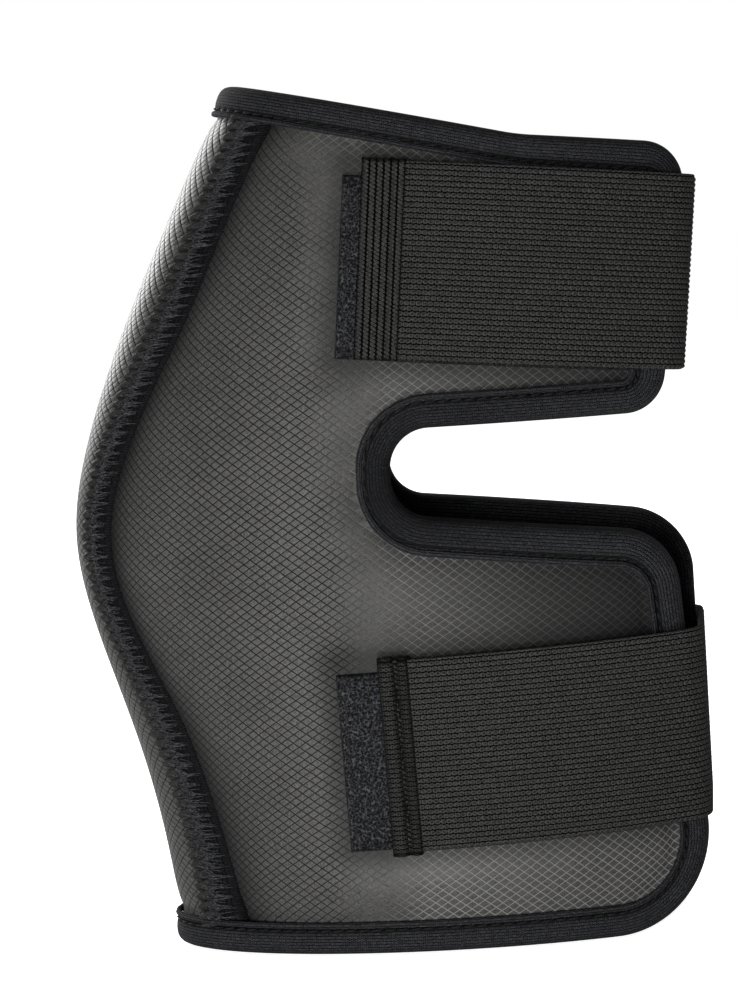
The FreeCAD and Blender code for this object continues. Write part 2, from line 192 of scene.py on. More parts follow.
def rounded(corners, counts=None, step=1.0):
    """Points along straight lines with rounded corners, and how many each stretch has."""
    spots = [np.array(c[:2], float) for c in corners]
    ends, arcs = [spots[0]], []
    for before, spot, after, (_, _, radius) in zip(spots, spots[1:], spots[2:], corners[1:]):
        into, out = spot - before, after - spot
        into, out = into / np.hypot(*into), out / np.hypot(*out)
        turn = atan2(into[0] * out[1] - into[1] * out[0], into @ out)
        reach = radius * tan(abs(turn) / 2)
        centre = spot - into * reach + np.array([-into[1], into[0]]) * radius * np.sign(turn)
        ends += [spot - into * reach, spot + out * reach]
        arcs.append((centre, turn, radius))
    ends.append(spots[-1])
    if counts is None:
        lines = [np.hypot(*(b - a)) for a, b in zip(ends[::2], ends[1::2])]
        counts = [max(1, round(length / step)) for length in lines]
        counts += [max(3, round(abs(turn) * radius / step)) for _, turn, radius in arcs]
    points = []
    for k, (start, stop) in enumerate(zip(ends[::2], ends[1::2])):
        part = np.linspace(0, 1, counts[k], endpoint=False)[:, None]
        points.append(start + (stop - start) * part)
        if k < len(arcs):
            centre, turn, radius = arcs[k]
            part = np.linspace(0, 1, counts[len(ends) // 2 + k], endpoint=False)
            arm = stop - centre
            points.append(
                centre
                + np.outer(np.cos(part * turn), arm)
                + np.outer(np.sin(part * turn), (-arm[1], arm[0]))
            )
    points.append([ends[-1]])
    return np.vstack(points), counts


def top_line(x):
    return TOP_BREAK[1] + (x - TOP_BREAK[0]) * TOP_SLOPE


def corners(side, inset, low_x=LOW_RUN_X, high_x=HIGH_RUN_X):
    """Corners of a panel's outline, every edge moved in by the inset."""
    flap_x, flap_z = LOW_FLAP[side]
    return [
        (low_x, inset, 0),
        (RIM_X[side] - inset, inset, RIM_ROUND - inset),
        (flap_x - inset, flap_z - inset, FLAP_ROUND - inset),
        (CROOK_X - inset, CROOK_LOW_Z - inset, CROOK_ROUND + inset),
        (CROOK_X - inset, CROOK_HIGH_Z + inset, CROOK_ROUND + inset),
        (UP_FLAP_LOW[0] - inset, UP_FLAP_LOW[1] + inset, SMALL_ROUND - inset),
        (UP_FLAP_HIGH[0] - inset, UP_FLAP_HIGH[1] - inset, SMALL_ROUND - inset),
        (TOP_BREAK[0], TOP_BREAK[1] - inset, TOP_ROUND),
        (high_x, top_line(high_x) - inset, 0),
    ]


COUNTS = {side: rounded(corners(side, 0))[1] for side in (FRONT, REAR)}
SPINE_STEPS = 60


def spine_run(inset, offset, top):
    """Angle and height of the rim's run round the spine, from the spine out."""
    x, z = (HIGH_RUN_X, top_line(HIGH_RUN_X) - inset) if top else (LOW_RUN_X, inset)
    turns = np.linspace(pi, turn_at(x, z, offset), SPINE_STEPS, endpoint=False)
    z = np.full(SPINE_STEPS, float(z))
    for _ in range(40 if top else 0):
        middle, wide, _ = section(z)
        z = top_line(middle + (wide + offset) * np.cos(turns)) - inset
    return turns, z


def edge_loop(inset, offset):
    """Closed line round the guard's whole edge, at an inset and an offset."""
    runs = []
    for side in (FRONT, REAR):
        x, z = rounded(corners(side, inset), COUNTS[side])[0].T
        low_turn, low_z = spine_run(inset, offset, False)
        high_turn, high_z = spine_run(inset, offset, True)
        turns = np.concatenate((low_turn, turn_at(x, z, offset), high_turn[::-1]))
        levels = np.concatenate((low_z, z, high_z[::-1]))
        runs.append(skin(side * turns, levels, offset))
    return np.vstack((runs[0], runs[1][-2:0:-1]))


def arc_along(points):
    """Distance along a line at each of its points."""
    steps = np.linalg.norm(np.diff(points, axis=0), axis=1)
    return np.concatenate(([0], np.cumsum(steps)))


def points_at(at, run, line):
    """Points of a line at places along it, where run is the place of each of its points."""
    return np.stack([np.interp(at, run, line[:, c]) for c in range(3)], axis=-1)


def seam_y(z):
    y, levels = rounded(SEAM)[0].T
    return np.interp(z, levels, y)


def seam_turn(z, across=0.0, offset=0.0):
    """Angle of the spine seam, or of a line beside it, as seen from the front panel."""
    depth = section(z)[2] + offset
    return pi + np.arcsin((seam_y(z) + across - MIDDLE_Y) / depth)


# --- meshes -------------------------------------------------------------------
def build(name, points, faces, material, uv=None, ends=()):
    """Object from points in millimetres, four-sided faces and end polygons."""
    mesh = bpy.data.meshes.new(name)
    points = np.asarray(points, float).reshape(-1, 3) * MM
    faces = np.asarray(faces, int).reshape(-1, 4)
    loops = np.concatenate([faces.ravel(), *[np.asarray(e, int) for e in ends]])
    sizes = np.concatenate([np.full(len(faces), 4), [len(e) for e in ends]]).astype(int)
    mesh.vertices.add(len(points))
    mesh.vertices.foreach_set("co", points.ravel())
    mesh.loops.add(len(loops))
    mesh.loops.foreach_set("vertex_index", loops.astype(np.int32))
    mesh.polygons.add(len(sizes))
    starts = np.concatenate(([0], np.cumsum(sizes)[:-1]))
    mesh.polygons.foreach_set("loop_start", starts.astype(np.int32))
    mesh.update(calc_edges=True)
    mesh.validate()
    mesh.polygons.foreach_set("use_smooth", np.full(len(mesh.polygons), True))
    if uv is not None:
        where = np.zeros(len(mesh.loops), np.int32)
        mesh.loops.foreach_get("vertex_index", where)
        layer = mesh.uv_layers.new(name="UVMap")
        layer.data.foreach_set("uv", np.asarray(uv, float).reshape(-1, 2)[where].ravel())
    mesh.materials.append(material)
    obj = bpy.data.objects.new(name, mesh)
    bpy.context.scene.collection.objects.link(obj)
    return obj


def grid_faces(rows, cols, close_rows=False, close_cols=False):
    """Faces of a grid of points stored row by row."""
    r = np.arange(rows if close_rows else rows - 1)
    c = np.arange(cols if close_cols else cols - 1)
    r, c = np.meshgrid(r, c, indexing="ij")
    r2, c2 = (r + 1) % rows, (c + 1) % cols
    quads = np.stack((r * cols + c, r * cols + c2, r2 * cols + c2, r2 * cols + c), axis=-1)
    return quads.reshape(-1, 4)


def face_out(obj):
    """Turn the faces of a closed mesh outwards."""
    work = bmesh.new()
    work.from_mesh(obj.data)
    bmesh.ops.recalc_face_normals(work, faces=work.faces)
    work.to_mesh(obj.data)
    work.free()
    return obj


def tube(name, grid, material, uv):
    """Closed body from lines of points round it, with flat ends."""
    rows, cols = np.shape(grid)[:2]
    ends = [np.arange(rows) * cols, (np.arange(rows) * cols + cols - 1)[::-1]]
    faces = grid_faces(rows, cols, close_rows=True)
    return face_out(build(name, grid, faces, material, uv, ends))


def attribute(obj, name, values):
    layer = obj.data.attributes.new(name, "FLOAT", "POINT")
    layer.data.foreach_set("value", np.asarray(values, np.float32).ravel())


THREAD_END = 0.55


def threads(name, lines, outward, radius, material, sides=6):
    """Many short round threads in one mesh; lines is (threads, points, 3)."""
    lines = np.asarray(lines, float)
    count, length, _ = lines.shape
    run = np.gradient(lines, axis=1)
    run /= np.linalg.norm(run, axis=-1, keepdims=True)
    across = np.cross(run, np.broadcast_to(outward, lines.shape))
    across /= np.linalg.norm(across, axis=-1, keepdims=True)
    up = np.cross(across, run)
    spin = np.arange(sides) * 2 * pi / sides
    taper = np.full(length, 1.0)
    taper[[0, -1]] = THREAD_END
    ring = (
        across[:, :, None] * np.cos(spin)[:, None] + up[:, :, None] * np.sin(spin)[:, None]
    ) * (np.broadcast_to(radius, count)[:, None] * taper)[:, :, None, None]
    points = lines[:, :, None] + ring
    one = grid_faces(length, sides, close_cols=True)
    faces = one[None] + (np.arange(count) * length * sides)[:, None, None]
    caps = []
    for k in range(count):
        first = k * length * sides
        caps.append(first + np.arange(sides)[::-1])
        caps.append(first + (length - 1) * sides + np.arange(sides))
    along = np.broadcast_to(np.arange(length)[:, None], (count, length, sides))
    around = np.broadcast_to(spin, (count, length, sides))
    uv = np.stack((along * 0.6, around), axis=-1)
    return face_out(build(name, points, faces, material, uv, caps))


# --- materials ----------------------------------------------------------------
class Paint:
    """A node material, built one node at a time."""

    def __init__(self, name, **sockets):
        self.material = bpy.data.materials.new(name)
        self.material.use_nodes = True
        self.tree = self.material.node_tree
        self.shader = self.tree.nodes["Principled BSDF"]
        for socket, value in sockets.items():
            self.shader.inputs[socket.replace("_", " ")].default_value = value

    def add(self, kind, settings=None, **inputs):
        made = self.tree.nodes.new("ShaderNode" + kind)
        for key, value in (settings or {}).items():
            setattr(made, key, value)
        for key, value in inputs.items():
            key = int(key[1:]) if key[0] == "i" and key[1:].isdigit() else key.replace("_", " ")
            self.feed(made.inputs[key], value)
        return made

    def feed(self, socket, value):
        if isinstance(value, bpy.types.NodeSocket):
            self.tree.links.new(value, socket)
        else:
            socket.default_value = value

    def math(self, operation, first, second=0.0):
        return self.add("Math", {"operation": operation}, i0=first, i1=second).outputs[0]

    def times(self, first, second):
        return self.math("MULTIPLY", first, second)

    def plus(self, first, second):
        return self.math("ADD", first, second)

    def humps(self, amount, each=pi):
        """Row of humps, one for each unit of the amount."""
        return self.math("ABSOLUTE", self.math("SINE", self.times(amount, each)))

    def place(self, kind):
        return self.add("TexCoord").outputs[kind]

    def parts(self, where):
        split = self.add("SeparateXYZ", Vector=where)
        return split.outputs["X"], split.outputs["Y"]

    def carried(self, name):
        """Value that the mesh carries at its points."""
        return self.add("Attribute", {"attribute_name": name}).outputs["Fac"]

    def grain(self, where, scale, detail=3.0, rough=0.6):
        made = self.add("TexNoise", Vector=where, Scale=scale, Detail=detail, Roughness=rough)
        return made.outputs["Fac"]

    def cells(self, where, scale):
        made = self.add("TexVoronoi", {"feature": "F1"}, Vector=where, Scale=scale)
        return made.outputs["Distance"]

    def ramp(self, amount, *stops):
        made = self.add("ValToRGB", Fac=amount)
        ramp = made.color_ramp
        while len(ramp.elements) < len(stops):
            ramp.elements.new(0.5)
        for element, (spot, shade) in zip(ramp.elements, stops):
            element.position = spot
            element.color = (*shade, 1)
        return made.outputs["Color"]

    def spread(self, amount, low, high, new_low, new_high):
        made = self.add(
            "MapRange",
            Value=amount, From_Min=low, From_Max=high, To_Min=new_low, To_Max=new_high,
        )
        return made.outputs[0]

    def mixed(self, amount, first, second):
        made = self.add("Mix", {"data_type": "RGBA"}, i0=amount, i6=first, i7=second)
        return made.outputs[2]

    def wear(self, socket, value):
        self.feed(self.shader.inputs[socket], value)

    def wear_painted_shade(self, colour, dark):
        """Base colour that darkens with painted shade where the mesh carries shade."""
        self.wear("Base Color", self.mixed(self.carried("shade"), colour, (*dark, 1)))

    def bump(self, height, distance, strength):
        made = self.add("Bump", Height=height, Distance=distance, Strength=strength)
        self.wear("Normal", made.outputs["Normal"])


def grey(level, tint=(1.0, 1.0, 1.0)):
    return tuple(level * part for part in tint)


COOL = (0.97, 0.98, 1.08)
WARM = (1.02, 1.01, 0.97)
DEEP = grey(0.001)

# Grooves of the leather turn from dark painted shade to a pale painted glint between these X, in
# metres.
PAINTED_GLINT_FROM, PAINTED_GLINT_TO = -0.025, 0.02


def leather(name="leather", level=1.0, gloss=0.16):
    """Embossed synthetic leather: grained faces, and grooves with painted shade that turns into a
    painted glint towards the open side.
    """
    paint = Paint(name, Specular_IOR_Level=gloss)
    where = paint.place("Object")
    fine = paint.grain(where, 2600, 2.0)
    soft = paint.grain(where, 45)
    face = paint.ramp(
        paint.plus(paint.times(fine, 0.9), paint.times(soft, 0.15)),
        (0.30, grey(0.018 * level, WARM)), (0.72, grey(0.105 * level, WARM)),
    )
    side = paint.plus(paint.parts(where)[0], paint.times(soft, 0.03))
    # Grooves: painted shade on the spine side, a pale painted glint on the open side.
    line = paint.ramp(
        paint.spread(side, PAINTED_GLINT_FROM, PAINTED_GLINT_TO, 0.0, 1.0),
        (0.0, grey(0.002, COOL)), (0.45, grey(0.012)), (1.0, grey(0.26, WARM)),
    )
    groove = paint.spread(paint.carried("groove"), 0.02, 0.5, 0.0, 1.0)
    # Painted shade where the mesh carries it darkens the whole colour.
    paint.wear_painted_shade(paint.mixed(groove, face, line), grey(0.004, COOL))
    rough = paint.spread(fine, 0.3, 0.7, 0.38, 0.54)
    paint.wear("Roughness", paint.plus(rough, paint.times(paint.carried("shade"), 0.4)))
    pores = paint.times(paint.cells(where, 2200), 0.6)
    paint.bump(paint.plus(fine, pores), 0.06 * MM, 0.6)
    return paint.material


def weave(paint, where, across, along):
    """Height of a fine knit: staggered loops, across and along in loops per unit."""
    u, v = paint.parts(where)
    row = paint.times(v, across)
    shift = paint.times(paint.math("FLOOR", row), 0.5)
    bead = paint.humps(paint.plus(paint.times(u, along), shift))
    return paint.times(paint.humps(row), paint.plus(bead, 0.35))


def ribs(paint, where, across, along):
    """Height of upright ribs of slanting yarn."""
    u, v = paint.parts(where)
    u, v = paint.times(u, along), paint.times(v, across)
    yarns = paint.humps(paint.plus(v, paint.times(u, 0.9)))
    return paint.times(paint.humps(u), paint.plus(yarns, 0.15))


def knit(name, shade, tint, across, along, depth, fine=3800, pattern=weave):
    """Knitted yarn, with painted light on the loops and painted shade between them, and painted
    shade where the mesh carries it; UV is in millimetres.
    """
    paint = Paint(name, Sheen_Weight=0.01, Sheen_Roughness=0.5, Specular_IOR_Level=0.05)
    loops = pattern(paint, paint.place("UV"), 1 / across, 1 / along)
    fibre = paint.grain(paint.place("Object"), fine, 3.0, 0.7)
    # Painted light on the loops, painted shade between them.
    colour = paint.ramp(
        paint.times(loops, paint.spread(fibre, 0.3, 0.7, 0.22, 1.5)),
        (0.32, grey(shade * 0.02, tint)), (0.52, grey(shade * 5.6, tint)),
        (0.66, grey(shade * 4.4, tint)), (0.98, grey(shade * 0.8, tint)),
    )
    paint.wear_painted_shade(colour, DEEP)
    paint.wear("Roughness", paint.spread(fibre, 0.3, 0.7, 0.75, 0.93))
    paint.bump(paint.plus(loops, paint.times(fibre, 0.5)), depth * MM, 0.9)
    return paint.material


def yarn(name, shade):
    """Twisted sewing thread, painted lighter on the crowns of its twist and darker between them
    as painted light and shade.
    """
    paint = Paint(name, Sheen_Weight=0.02, Specular_IOR_Level=0.2)
    u, v = paint.parts(paint.place("UV"))
    twist = paint.humps(paint.plus(paint.times(u, 9.0), v), 1.0)
    fibre = paint.grain(paint.place("Object"), 1400, 3.0, 0.8)
    # Painted light on the twist's crowns, painted shade between them.
    colour = paint.ramp(
        paint.times(twist, paint.spread(fibre, 0.35, 0.65, 0.1, 1.2)),
        (0.2, grey(shade * 0.1, COOL)), (0.9, grey(shade * 2.2, COOL)),
    )
    paint.wear("Base Color", colour)
    paint.wear("Roughness", paint.spread(fibre, 0.3, 0.7, 0.5, 0.75))
    paint.bump(twist, 0.08 * MM, 0.8)
    return paint.material


def pile(name, shade):
    """Napped loop pile or hook tape, painted lighter on high tufts and darker between them as
    painted light and shade, with painted shade where the mesh carries it.
    """
    paint = Paint(name, Sheen_Weight=0.02, Sheen_Roughness=0.4, Specular_IOR_Level=0.06)
    where = paint.place("Object")
    tuft = paint.grain(where, 2600, 4.0, 0.8)
    mix = paint.times(tuft, paint.plus(paint.cells(where, 1600), 0.35))
    # Painted light on high tufts, painted shade in the low ones.
    colour = paint.ramp(
        mix, (0.22, grey(shade * 0.05, COOL)), (0.42, grey(shade, COOL)),
        (0.66, grey(shade * 6.5, COOL)),
    )
    paint.wear_painted_shade(colour, DEEP)
    paint.wear("Roughness", paint.spread(tuft, 0.3, 0.7, 0.8, 0.95))
    paint.bump(mix, 0.4 * MM, 0.9)
    return paint.material


def floor_paint():
    """Pale floor that looks white to the camera and lights the object only a little."""
    paint = Paint("studio_floor", Roughness=0.75, Specular_IOR_Level=0.15)
    mottle = paint.grain(paint.place("Object"), 9)
    paint.wear("Base Color", paint.ramp(mottle, (0.2, grey(0.90)), (0.8, grey(0.94))))
    paint.wear("Emission Color", (1.0, 1.0, 1.0, 1.0))
    seen = paint.add("LightPath").outputs["Is Camera Ray"]
    paint.wear("Emission Strength", paint.times(seen, 0.9))
    return paint.material


# Rows and loops of the straps' knit, in millimetres.
RIB, LOOP = 1.37, 1.5

LEATHER = leather()
# A darker copy of the leather for the seam's braid: painted shade.
SHADED_LEATHER_EDGE = leather("shaded_leather_edge", 0.35, 0.06)
LINING = knit("lining_knit", 0.034, COOL, 0.9, 1.1, 0.12)
BINDING = knit("binding_knit", 0.0115, COOL, 0.8, 1.1, 0.14, fine=2400)
ELASTIC = knit("elastic_knit", 0.0138, WARM, RIB, LOOP, 0.14)
HEM = knit("hem_knit", 0.0155, WARM, 1.05, 1.8, 0.16, pattern=ribs)
SEAM_BASE = knit("seam_base_knit", 0.003, COOL, 0.5, 0.7, 0.12)
THREAD = yarn("sewing_thread", 0.055)
DARK_THREAD = yarn("dark_thread", 0.015)
ROLLED = knit("rolled_knit", 0.0115, WARM, 1.25, 1.3, 0.16)
LOOP_PILE = pile("loop_pile", 0.021)
HOOK_TAPE = pile("hook_tape", 0.016)


def everywhere(piece, *nodes, slot):
    """A piece of the shell, which takes the place of the model's parts it names."""
    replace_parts(piece, *nodes)
    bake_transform(piece)


def halves(*names):
    return [half + "_" + name for half in ("lower", "upper") for name in names]


# Each strap: the lower corner of its free end and of its patch, its slope, and where and how
# it turns round the open side.
STRAPS = {
    "upper": {
        "x": -7.0, "z": 155.2, "tilt": 6.0, "patch": (-12.0, 155.0),
        "side_x": 81.0, "side_z": 175, "lean": 6.5, "yaw": 0.0,
    },
    "lower": {
        "x": -4.6, "z": 27.6, "tilt": -1.4, "patch": (-15.6, 27.6),
        "side_x": 81.4, "side_z": 54, "lean": 0.0, "yaw": 6.1,
    },
}
STRAP_WIDE, STRAP_IN, STRAP_OUT, STRAP_FORWARD = 50, 2.1, 3.7, 1.0
CORNER_ROUND, ANCHOR_X, ANCHOR_LONG = 10, 38, 29
HEM_LONG, ROLLED_LONG, HEM_OUT = 11, 7.6, 4.9
STRAP_DENT, DENT_REACH = 1.0, 7.0


# --- panels -------------------------------------------------------------------
def inside(x, z, loop):
    """True where (x, z) lies inside a closed loop of points."""
    within = np.zeros(len(x), bool)
    for (x1, z1), (x2, z2) in zip(loop, np.roll(loop, -1, axis=0)):
        if z1 == z2:
            continue
        crosses = (z1 > z) != (z2 > z)
        within ^= crosses & (x < (x2 - x1) * (z - z1) / (z2 - z1) + x1)
    return within


def reach_to(x, z, line):
    """Distance from each (x, z) to the nearest point of a line."""
    best = np.full(len(x), np.inf)
    for (x1, z1), (x2, z2) in zip(line, line[1:]):
        dx, dz = x2 - x1, z2 - z1
        part = np.clip(((x - x1) * dx + (z - z1) * dz) / (dx * dx + dz * dz + 1e-12), 0, 1)
        best = np.minimum(best, np.hypot(x - x1 - part * dx, z - z1 - part * dz))
    return best


def panel_line(side, inset, step=1.0):
    return rounded(corners(side, inset, FAR_LEFT, FAR_LEFT), step=step)[0]


def seam_gap(side, turn, z):
    """Distance along the surface from the spine seam, positive on the panel's own side."""
    seam = seam_turn(z)
    if side == REAR:
        seam = 2 * pi - seam
    _, wide, depth = section(z)
    speed = np.hypot(wide * np.sin(seam), depth * np.cos(seam))
    return (seam - turn) * speed


def under_straps(side, x, z):
    """1 where a strap presses on the front panel, falling to 0 around it."""
    share = np.zeros(len(x))
    for strap in STRAPS.values() if side == FRONT else ():
        tilt = radians(strap["tilt"])
        dx, dz = x - strap["patch"][0], z - strap["z"]
        along, across = dx * cos(tilt) - dz * sin(tilt), dx * sin(tilt) + dz * cos(tilt)
        beside = np.hypot(
            np.maximum(-along, 0), np.maximum(np.abs(across - STRAP_WIDE / 2) - STRAP_WIDE / 2, 0)
        )
        share = np.maximum(share, np.exp(-((beside / DENT_REACH) ** 2)))
    return share


# Outward swell of each panel on an unrolled grid: the grid's step, the swell of its fullest
# parts and the frames its cloth runs for.
SWELL_STEP, SWELL_TOP, SWELL_FRAMES = 5.0, 1.3, 20
SWELL_S = np.arange(-130, 111, SWELL_STEP)
SWELL_Z = np.arange(-10, 251, SWELL_STEP)
SWELLS = {side: np.zeros((len(SWELL_Z), len(SWELL_S))) for side in (FRONT, REAR)}


def swell_at(side, turn, z):
    """Swell at points of a panel, by a smooth curve through the grid's values."""
    grid = SWELLS[side]
    u = np.clip((arc_at(turn, z) - SWELL_S[0]) / SWELL_STEP, 1, len(SWELL_S) - 3.001)
    v = np.clip((z - SWELL_Z[0]) / SWELL_STEP, 1, len(SWELL_Z) - 3.001)
    col, row = u.astype(int), v.astype(int)

    def weights(t):
        return (
            (1 - t) ** 3 / 6, (3 * t**3 - 6 * t**2 + 4) / 6,
            (-3 * t**3 + 3 * t**2 + 3 * t + 1) / 6, t**3 / 6,
        )

    total = np.zeros(len(u))
    for k, across in enumerate(weights(v - row)):
        for m, along in enumerate(weights(u - col)):
            total += across * along * grid[row + k - 1, col + m - 1]
    return total


def simulate_swell(side):
    """Swell the cover as cloth held along its seams and under the straps, from inside."""
    s, z = (part.ravel() for part in np.meshgrid(SWELL_S, SWELL_Z))
    turn = turn_from_arc(s, z)
    start = skin(side * turn, z)
    x = start[:, 0]
    free = inside(x, z, panel_line(side, WELT_EDGE)) & (seam_gap(side, turn, z) > SEAM_HALF)
    free &= (turn > 0.05) & (under_straps(side, x, z) < 0.9)
    faces = grid_faces(len(SWELL_Z), len(SWELL_S))
    faces = faces[free[faces].any(axis=1)]
    if side == REAR:
        faces = faces[:, ::-1]
    used, spots = np.unique(faces, return_inverse=True)
    sheet = build("swell", start[used], spots.reshape(-1, 4), LEATHER)
    held = sheet.vertex_groups.new(name="held")
    held.add([int(k) for k in np.flatnonzero(~free[used])], 1.0, "REPLACE")
    cloth = sheet.modifiers.new("cloth", "CLOTH")
    cloth.point_cache.frame_end = SWELL_FRAMES
    settings = cloth.settings
    settings.vertex_group_mass = "held"
    settings.quality = 6
    settings.mass = 0.01
    settings.tension_stiffness = settings.compression_stiffness = 8
    settings.shear_stiffness, settings.bending_stiffness = 3, 1
    settings.use_pressure = True
    settings.uniform_pressure_force = 30
    settings.effector_weights.gravity = 0
    scene = bpy.context.scene
    for number in range(1, SWELL_FRAMES + 1):
        scene.frame_set(number)
    done = sheet.evaluated_get(bpy.context.evaluated_depsgraph_get()).data
    moved = np.zeros(len(used) * 3)
    done.vertices.foreach_get("co", moved)
    outward = skin(side * turn, z, 1.0) - start
    move = ((moved.reshape(-1, 3) / MM - start[used]) * outward[used]).sum(axis=1)
    scene.frame_set(1)
    mesh = sheet.data
    bpy.data.objects.remove(sheet)
    bpy.data.meshes.remove(mesh)
    grid = np.zeros(len(s))
    grid[used] = move
    top = np.percentile(move[free[used]], 90)
    SWELLS[side][:] = (np.clip(grid / top, 0, 1.2) * SWELL_TOP).reshape(SWELLS[side].shape)


# Padding: how far it stands out, depth and reach of its fall to the edges, and its valley
# beside the spine seam.
CROWN, EDGE_FALLS = 0.6, ((1.2, 3.2), (1.1, 10))
VALLEY_DEEP, VALLEY_REACH = 3.0, 8.0


def relief(side, turn, x, z):
    """How far the padded face stands out: pulled in at its seams, crowned between them."""
    edge = np.maximum(reach_to(x, z, panel_line(side, WELT_EDGE, 3.0)), 0)
    seam = np.maximum(seam_gap(side, turn, z) - SEAM_EDGE, 0)
    valley = 1.2 * np.exp(-seam / 3)
    if side == FRONT:
        valley = VALLEY_DEEP * np.exp(-((seam / VALLEY_REACH) ** 1.7))
    sunk = sum(deep * np.exp(-edge / reach) for deep, reach in EDGE_FALLS)
    out = CROWN - sunk - valley - STRAP_DENT * under_straps(side, x, z)
    return out + swell_at(side, turn, z)


# Diamonds embossed in the cover: width, slope of their falling and climbing sides, share of
# a side and depth of the groove between them, and how domed they are.
CELL_WIDE, FALL, CLIMB = 3.15, radians(38), radians(33)
CLIMB_SIDE = CELL_WIDE / (sin(CLIMB) / tan(FALL) + cos(CLIMB))
FALL_SIDE = CLIMB_SIDE * sin(CLIMB) / sin(FALL)
LINE_A = FALL_SIDE * np.array((cos(FALL), -sin(FALL)))
LINE_B = CLIMB_SIDE * np.array((cos(CLIMB), sin(CLIMB)))
GROOVE, GROOVE_DEEP, PILLOW = 0.078, 0.15, 0.11
PANEL_S, PANEL_Z = (-125, 105), (-2, 240)
COVER_INSET, COVER_OVERLAP = 3.4, -1.4
LINING_INSET, LINING_OVERLAP, LINING_STEP = 2.6, 1.6, 2.0
CELL_CORNERS = ((0, 0), (1, 0), (1, 1), (0, 1))
NEAR, CODE = 0.4, 4096


def lattice(side, a, b, inset, overlap):
    """Cells of a slanting grid on the unrolled panel that lie within its outline.

    Gives the grid's two directions, the cells, the knots at their corners and which four
    knots each cell has.
    """
    frame_ab = np.array((a, b)).T
    box = np.array([(s, z) for s in PANEL_S for z in PANEL_Z]).T
    span = np.linalg.solve(frame_ab, box)
    low, high = np.floor(span.min(1)).astype(int), np.ceil(span.max(1)).astype(int)
    i, j = np.meshgrid(np.arange(low[0], high[0]), np.arange(low[1], high[1]), indexing="ij")
    i, j = i.ravel(), j.ravel()
    s, z = frame_ab @ np.array((i + 0.5, j + 0.5))
    near = (s > PANEL_S[0]) & (s < PANEL_S[1]) & (z > PANEL_Z[0]) & (z < PANEL_Z[1])
    i, j, s, z = i[near], j[near], s[near], z[near]
    turn = turn_from_arc(s, z)
    x = skin(side * turn, z)[:, 0]
    keep = inside(x, z, panel_line(side, inset)) & (seam_gap(side, turn, z) > -overlap)
    keep &= turn > 0.02
    i, j = i[keep], j[keep]
    codes = np.stack([(i + di) * CODE + (j + dj) for di, dj in CELL_CORNERS], axis=-1)
    knots, spots = np.unique(codes, return_inverse=True)
    knot_i, knot_j = np.divmod(knots + CODE // 2, CODE)
    return frame_ab, (i, j), (knot_i, knot_j - CODE // 2), spots.reshape(-1, 4)


def panel_point(side, s, z, offset):
    turn = turn_from_arc(s, z)
    x = skin(side * turn, z)[:, 0]
    return skin(side * turn, z, relief(side, turn, x, z) + offset)


# Painted shade on the cover: how dark it is painted in the valley beside the spine seam and how
# far that reaches on each side, how dark it is painted towards the open side above and below the
# crook where the light falls off, and the painted shadow at the straps.
SEAM_SHADE, SHADE_REACH, LOW_REACH = 0.96, {FRONT: 7.6, REAR: 2.0}, {FRONT: 3.0, REAR: 0.0}
OPEN_SHADE_HIGH, OPEN_SHADE_LOW, STRAP_SHADE = 0.86, 0.22, 0.52


def painted_panel_shade(side, s, z):
    """Painted shade on the cover beside the spine seam and towards the open side, and painted
    shadow at the straps.
    """
    turn = turn_from_arc(s, z)
    x = skin(side * turn, z)[:, 0]
    beside = np.maximum(seam_gap(side, turn, z) - SEAM_EDGE, 0)
    reach = SHADE_REACH[side] + LOW_REACH[side] * (1 - smooth(30, 90, z))
    valley = SEAM_SHADE * np.exp(-((beside / reach) ** 1.9))
    high = smooth(48, 85, z)
    open_side = OPEN_SHADE_HIGH * smooth(-35, 62, x) * high * (1 - 0.35 * smooth(115, 150, z))
    open_side += OPEN_SHADE_LOW * smooth(5, 55, x) * (1 - high)
    # Painted shadow at the edges of the straps.
    strap_shadow = STRAP_SHADE * under_straps(side, x, z) ** 3
    return np.maximum(valley, 1 - (1 - open_side) * (1 - strap_shadow))


def dome_diamonds(panel, side, s, z, points, count):
    """Normals that follow the padding over the first faces, the diamonds, and dome them."""
    east = panel_point(side, s + NEAR, z, 0) - panel_point(side, s - NEAR, z, 0)
    north = panel_point(side, s, z + NEAR, 0) - panel_point(side, s, z - NEAR, 0)
    normal = np.cross(east, north) * (-side)
    normal /= np.linalg.norm(normal, axis=1, keepdims=True)
    mesh = panel.data
    split = np.zeros(len(mesh.polygons) * 3, np.float32)
    mesh.polygons.foreach_get("normal", split)
    split = np.repeat(split.reshape(-1, 3), 4, axis=0)
    where = np.zeros(len(mesh.loops), np.int32)
    mesh.loops.foreach_get("vertex_index", where)
    where = where[: 4 * count]
    spots = points[where].reshape(-1, 4, 3)
    bulge = (spots - spots.mean(axis=1, keepdims=True)).reshape(-1, 3)
    split[: 4 * count] = normal[where] + PILLOW * bulge
    split /= np.linalg.norm(split, axis=1, keepdims=True)
    mesh.normals_split_custom_set(split)


